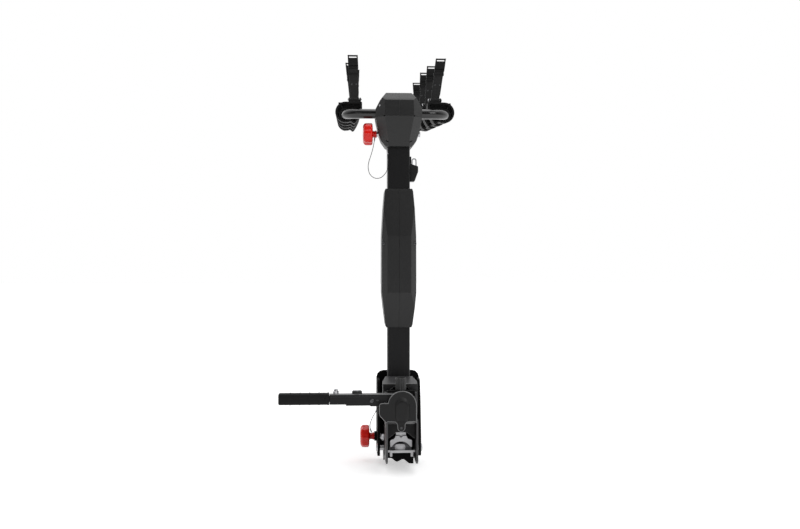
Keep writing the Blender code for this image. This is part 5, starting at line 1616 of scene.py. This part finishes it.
@dataclass
class Lever:
    """The hand lever: a folded steel arm with a moulded grip, a lock, a domed nut and a rivet."""

    middle_y: float = -0.036
    face: float = -0.046
    grip_start: float = -0.26
    grip_end: float = -0.1532
    grip_z: float = 0.119
    grip_half: float = 0.0121
    ribs: tuple[float, ...] = (-0.2354, -0.2149, -0.1945, -0.1747)
    rib_half: float = 0.0011
    dimple: float = -0.1626
    nut_x: float = -0.1392
    lock_x: float = -0.0947
    rivet: Pair = (-0.0632, 0.115)
    slot_low: Pair = (-0.0552, 0.1146)
    slot_high: Pair = (-0.0474, 0.1182)
    top: float = 0.129

    def build(self) -> None:
        """Make the lever's pieces."""
        self.arm()
        self.grip()
        self.lock()
        self.nut()

    def arm(self) -> None:
        """Make the arm with its folded top edge, the rivet's seat and the slot beside it."""
        arm = refined("lever_arm", "lever_arm_pressed", 0.0012, 3)
        x, z = self.rivet
        (low_x, low_z), (high_x, high_z) = self.slot_low, self.slot_high
        place = (x, self.face + 0.0009, z)
        fold = slab("fold", (-0.15, self.face - 0.001, 0.1234), (-0.05, self.face + 0.0007, 0.1241))
        slot = slab("slot", (low_x, -0.05, low_z), (high_x, self.face + 0.0016, high_z))
        carved(arm, fold, barrel("seat", (x, -0.05, z), place, 0.0063), rounded(slot, 0.0012, 3))
        dress(arm, COATED_STEEL, "lever", "lever_arm")
        # Painted highlight on the bevels along the folded top edge.
        tinted(arm, PAINTED_EDGE_HIGHLIGHT, lambda at, way: 0.15 < way.z < 0.97 and way.y < -0.1 and at.z > 0.123)
        # Painted light from above on the arm's top face.
        tinted(arm, CUT_EDGE_AND_PAINTED_LIGHT, lambda at, way: way.z > 0.97 and at.z > 0.127)
        tongue = slab(
            "slot_tongue", (low_x + 0.0008, self.face + 0.0004, low_z + 0.0006),
            (high_x - 0.0008, self.face + 0.0018, high_z - 0.001),
        )
        dress(rounded(tongue, 0.0005), DARK_ZINC_AND_PAINTED_SHADE, "lever")
        head = screw_head("lever_rivet", place, FORWARD, 0.0047, 0.0022, 0.0016)
        dress(head, DARK_ZINC_AND_PAINTED_SHADE, "lever", "lever_screw")

    def section(self, x: float, half: float) -> list[Point]:
        """Give the grip's section: a square with broad chamfers, softened at each corner.

        Args:
            x: The section's place.
            half: Half its width.

        Returns:
            Its points.
        """
        points = []
        for angle in (FULL * (i + 0.5) / 32 for i in range(32)):
            out, up = math.cos(angle), math.sin(angle)
            reach = half / max(abs(out), abs(up), (abs(out) + abs(up)) / 1.72)
            points.append((x, self.middle_y + reach * out, self.grip_z + reach * up))
        return points

    def grip(self) -> None:
        """Make the grip with its raised rings, a lip at the arm and a dimple in front of it."""
        half, start, lip = self.grip_half, self.grip_start, self.grip_end
        stations = [(start, half - 0.0022), (start + 0.0007, half - 0.0008), (start + 0.0022, half)]
        ring = ((-1.6, 0.0), (-0.8, 0.0005), (0.8, 0.0005), (1.6, 0.0))
        for rib in self.ribs:
            stations += [(rib + reach * self.rib_half, half + rise) for reach, rise in ring]
        stations += [(lip - 0.0042, half), (lip - 0.0032, half + 0.0005)]
        stations += [(lip - 0.0008, half + 0.0005), (lip, half - 0.0004)]
        grip = loft("lever_handle", [self.section(*station) for station in stations])
        near, z = self.middle_y - half - 0.001, self.grip_z + 0.002
        carved(grip, barrel("dimple", (self.dimple, near, z), (self.dimple, near + 0.0024, z), 0.0024))
        dress(rounded(grip, 0.0003, 2, 25), SOFT_RUBBER, "lever", "lever_grip", angle=30)

    def lock(self) -> None:
        """Make the key lock: a dark collar round a bright barrel with its keyway."""
        x, y = self.lock_x, self.middle_y
        collar = (
            (0.01, 0.0), (0.0108, 0.001), (0.0108, 0.0048), (0.0096, 0.0068), (0.0074, 0.0074),
            (0.007, 0.0066), (0.007, 0.004), (0, 0.004),
        )
        dress(turned("lock_collar", (x, y, self.top), UP, collar), SMOOTH_BLACK, "lever")
        core = ((0.0067, 0.0042), (0.0067, 0.0072), (0.006, 0.0079), (0, 0.0079))
        plug = turned("lock_core", (x, y, self.top), UP, core)
        low, high = self.top + 0.005, self.top + 0.009
        keyway = slab("keyway", (x - 0.0034, y - 0.0005, low), (x + 0.0034, y + 0.0005, high))
        dress(carved(plug, keyway), ZINC, "lever", "lever_lock")

    def nut(self) -> None:
        """Make the domed nut on its washer."""
        place = (self.nut_x, self.middle_y, self.top)
        rim = ((0.0066, 0.0002), (0.0068, 0.0006), (0.0066, 0.0011), (0, 0.0011))
        washer = turned("nut_washer", place, UP, rim)
        flats = turned("flats", place, UP, ((0.006, 0.0011), (0.006, 0.0066), (0, 0.0066)), 6)
        angles = [math.pi * i / 24 for i in range(13)]
        dome = [(0.0048 * math.cos(a), 0.0064 + 0.0052 * math.sin(a)) for a in angles]
        dome[-1] = (0, dome[-1][1])
        parts = [washer, rounded(flats, 0.0006, 3, 25), turned("cap", place, UP, dome)]
        dress(joined("domed_nut", parts), ZINC, "lever", "lever_nut")


PLAIN_NODES = (
    (COATED_STEEL, 0.0012, "coupler_plate_left coupler_plate_right"),
    # Painted shade: the coupler's inner plates and the foot bracket take the darker, duller coat.
    (DARK_COAT_AND_PAINTED_SHADE, 0.0006, "coupler_bridge coupler_web coupler_back"),
    (DARK_COAT_AND_PAINTED_SHADE, 0.001, "foot_bracket"),
    (MAST_COAT, 0.0004, "mast_lower mast_upper mast_splice"),
    (COATED_STEEL, 0.0006, "head_cheek_left head_cheek_right arm_hub"),
    (ZINC, 0.0004, "cross_bolt tilt_bolt foot_bolt lever_pivot"),
    (CAST_ZINC, 0.0005, "ball_seat"),
)


def build_plain() -> None:
    """Round the edges of the CAD nodes whose form is already right, and dress them."""
    for finish, width, nodes in PLAIN_NODES:
        for node in nodes.split():
            piece = dress(refined(node, node + "_dressed", width), finish, body_of(node), node)
            if node.startswith("coupler_plate"):
                # The plates' cut front edges, lightened partly as a painted highlight.
                tinted(piece, CUT_EDGE_AND_PAINTED_LIGHT, lambda at, way: way.y < -0.2)
            if node == "ball_seat":
                # Painted light on the ball seat: a round lit middle in cast zinc, painted shade of dark
                # zinc round it.
                use(piece, "TRIANGULATE")
                use(piece, "SUBSURF", subdivision_type="SIMPLE", levels=3)
                tinted(piece, DARK_ZINC_AND_PAINTED_SHADE, lambda at, way: math.hypot(at.x, at.z - 0.003) > 0.0115)


@dataclass
class Studio:
    """The floor, the soft light and the camera."""

    eye: Triple = (-0.116, -2.049, 0.4026)
    gaze: Triple = (0.0558, 0.9984, 0.0)
    lens: float = 42.75
    floor_gap: float = 0.0004
    floor_lift: Pair = (0.5, 0.75)
    lift_reach: Pair = (0.35, 1.6)
    bright_side: Triple = (0.66, -0.22, 0.72)
    ambient: Pair = (0.04, 0.66)
    bright_wall: Triple = (0.12, 0.85, 0.5)
    mirrored: Pair = (0.08, 1.0)
    lamps_face: Triple = (0, 0.2, 0.4)

    def build(self) -> None:
        """Set the camera, the floor, the world and the lamps."""
        self.camera()
        self.floor()
        self.world()
        self.lamp("key", (1.4, -2.3, 2.2), 1.5, 21)
        self.lamp("fill", (-1.5, -2.3, 1.4), 1.4, 2.5)
        self.lamp("top", (0.1, 0.3, 3.0), 2.2, 20)
        self.lamp("rim", (-1.4, 2.3, 1.6), 1.6, 8)
        bpy.context.scene.view_settings.view_transform = "Standard"

    @staticmethod
    def aimed(name: str, data: bpy.types.ID, place: Point, gaze: Vector) -> Piece:
        """Put a camera or a lamp at a place, facing this way.

        Args:
            name: Its name.
            data: What it is.
            place: Its place.
            gaze: Where it faces.

        Returns:
            The object.
        """
        thing = bpy.data.objects.new(name, data)
        thing.location = place
        thing.rotation_euler = gaze.to_track_quat("-Z", "Y").to_euler()
        bpy.context.scene.collection.objects.link(thing)
        return thing

    def camera(self) -> None:
        """Put the camera where the photograph was taken."""
        data = bpy.data.cameras.new("photo_camera")
        data.lens = self.lens
        data.sensor_width = 36
        data.clip_end = 60
        bpy.context.scene.camera = self.aimed("photo_camera", data, self.eye, Vector(self.gaze))

    def floor(self) -> None:
        """Lay a plain floor, lifted to white for the camera and for reflections."""
        bpy.ops.mesh.primitive_plane_add(size=40, location=(0, 0, CAD_BOX[0][2] - self.floor_gap))
        floor = settled(bpy.context.object, "floor")
        made = bpy.data.materials.new("pale_floor")
        made.use_nodes = True
        tree = made.node_tree
        path = added(tree, "LightPath").outputs
        seen = added(tree, "Math:MAXIMUM", path["Is Camera Ray"], path["Is Glossy Ray"]).outputs["Value"]
        place = added(tree, "TexCoord").outputs["Object"]
        away = added(tree, "VectorMath:LENGTH", place).outputs["Value"]
        more = self.ramp(tree, away, self.lift_reach, self.floor_lift)
        fill(
            tree, tree.nodes["Principled BSDF"], Base_Color=(0.86, 0.86, 0.86, 1), Roughness=0.9,
            Specular_IOR_Level=0.1, Emission_Color=(1, 1, 1, 1),
            Emission_Strength=added(tree, "Math:MULTIPLY", seen, more).outputs["Value"],
        )
        floor.data.materials.append(made)

    def world(self) -> None:
        """Show plain white behind the rack, and light it more from above right than from the left."""
        world = bpy.data.worlds.new("studio")
        bpy.context.scene.world = world
        world.use_nodes = True
        tree = world.node_tree
        path = added(tree, "LightPath").outputs
        way = added(tree, "TexCoord").outputs["Generated"]
        toward = added(tree, "VectorMath:DOT_PRODUCT", way, self.bright_side).outputs["Value"]
        behind = added(tree, "VectorMath:DOT_PRODUCT", way, self.bright_wall).outputs["Value"]
        ambient = self.ramp(tree, toward, (-0.8, 1.0), self.ambient)
        mirrored = self.ramp(tree, behind, (-0.25, 0.5), self.mirrored)
        strength = added(tree, "Mix", Factor=path["Is Glossy Ray"], A=ambient, B=mirrored)
        strength = strength.outputs["Result"]
        for ray in ("Is Camera Ray", "Is Transmission Ray"):
            strength = added(tree, "Math:MAXIMUM", path[ray], strength).outputs["Value"]
        fill(tree, tree.nodes["Background"], Color=(1, 1, 1, 1), Strength=strength)

    @staticmethod
    def ramp(tree: Tree, value: Socket, start: Point, end: Point) -> Socket:
        """Map one span of a value to another, and hold it past both ends."""
        spans = {"From_Min": start[0], "From_Max": start[1], "To_Min": end[0], "To_Max": end[1]}
        return added(tree, "MapRange", Value=value, **spans).outputs["Result"]

    def lamp(self, name: str, place: Point, size: float, power: float) -> None:
        """Hang a soft square lamp of this size and power in watts, facing the rack.

        Args:
            name: The lamp's name.
            place: Its place.
            size: Length of its sides.
            power: Its power.
        """
        data = bpy.data.lights.new(name, "AREA")
        data.shape = "RECTANGLE"
        data.size = data.size_y = size
        data.energy = power
        self.aimed(name, data, place, Vector(self.lamps_face) - Vector(place))


def main() -> None:
    """Build every piece in order."""
    logging.basicConfig(level=logging.INFO, format="%(name)s: %(message)s")
    Studio().build()
    build_locks()
    Arms().build()
    Mast().build()
    Coupler().build()
    Lever().build()
    build_plain()


if __name__ == "__main__":
    main()
    for node in frame["nodes"].values():
        if not node.data.materials or node.data.materials[0] is None:
            LOG.info("%s keeps the plain finish", node.name)
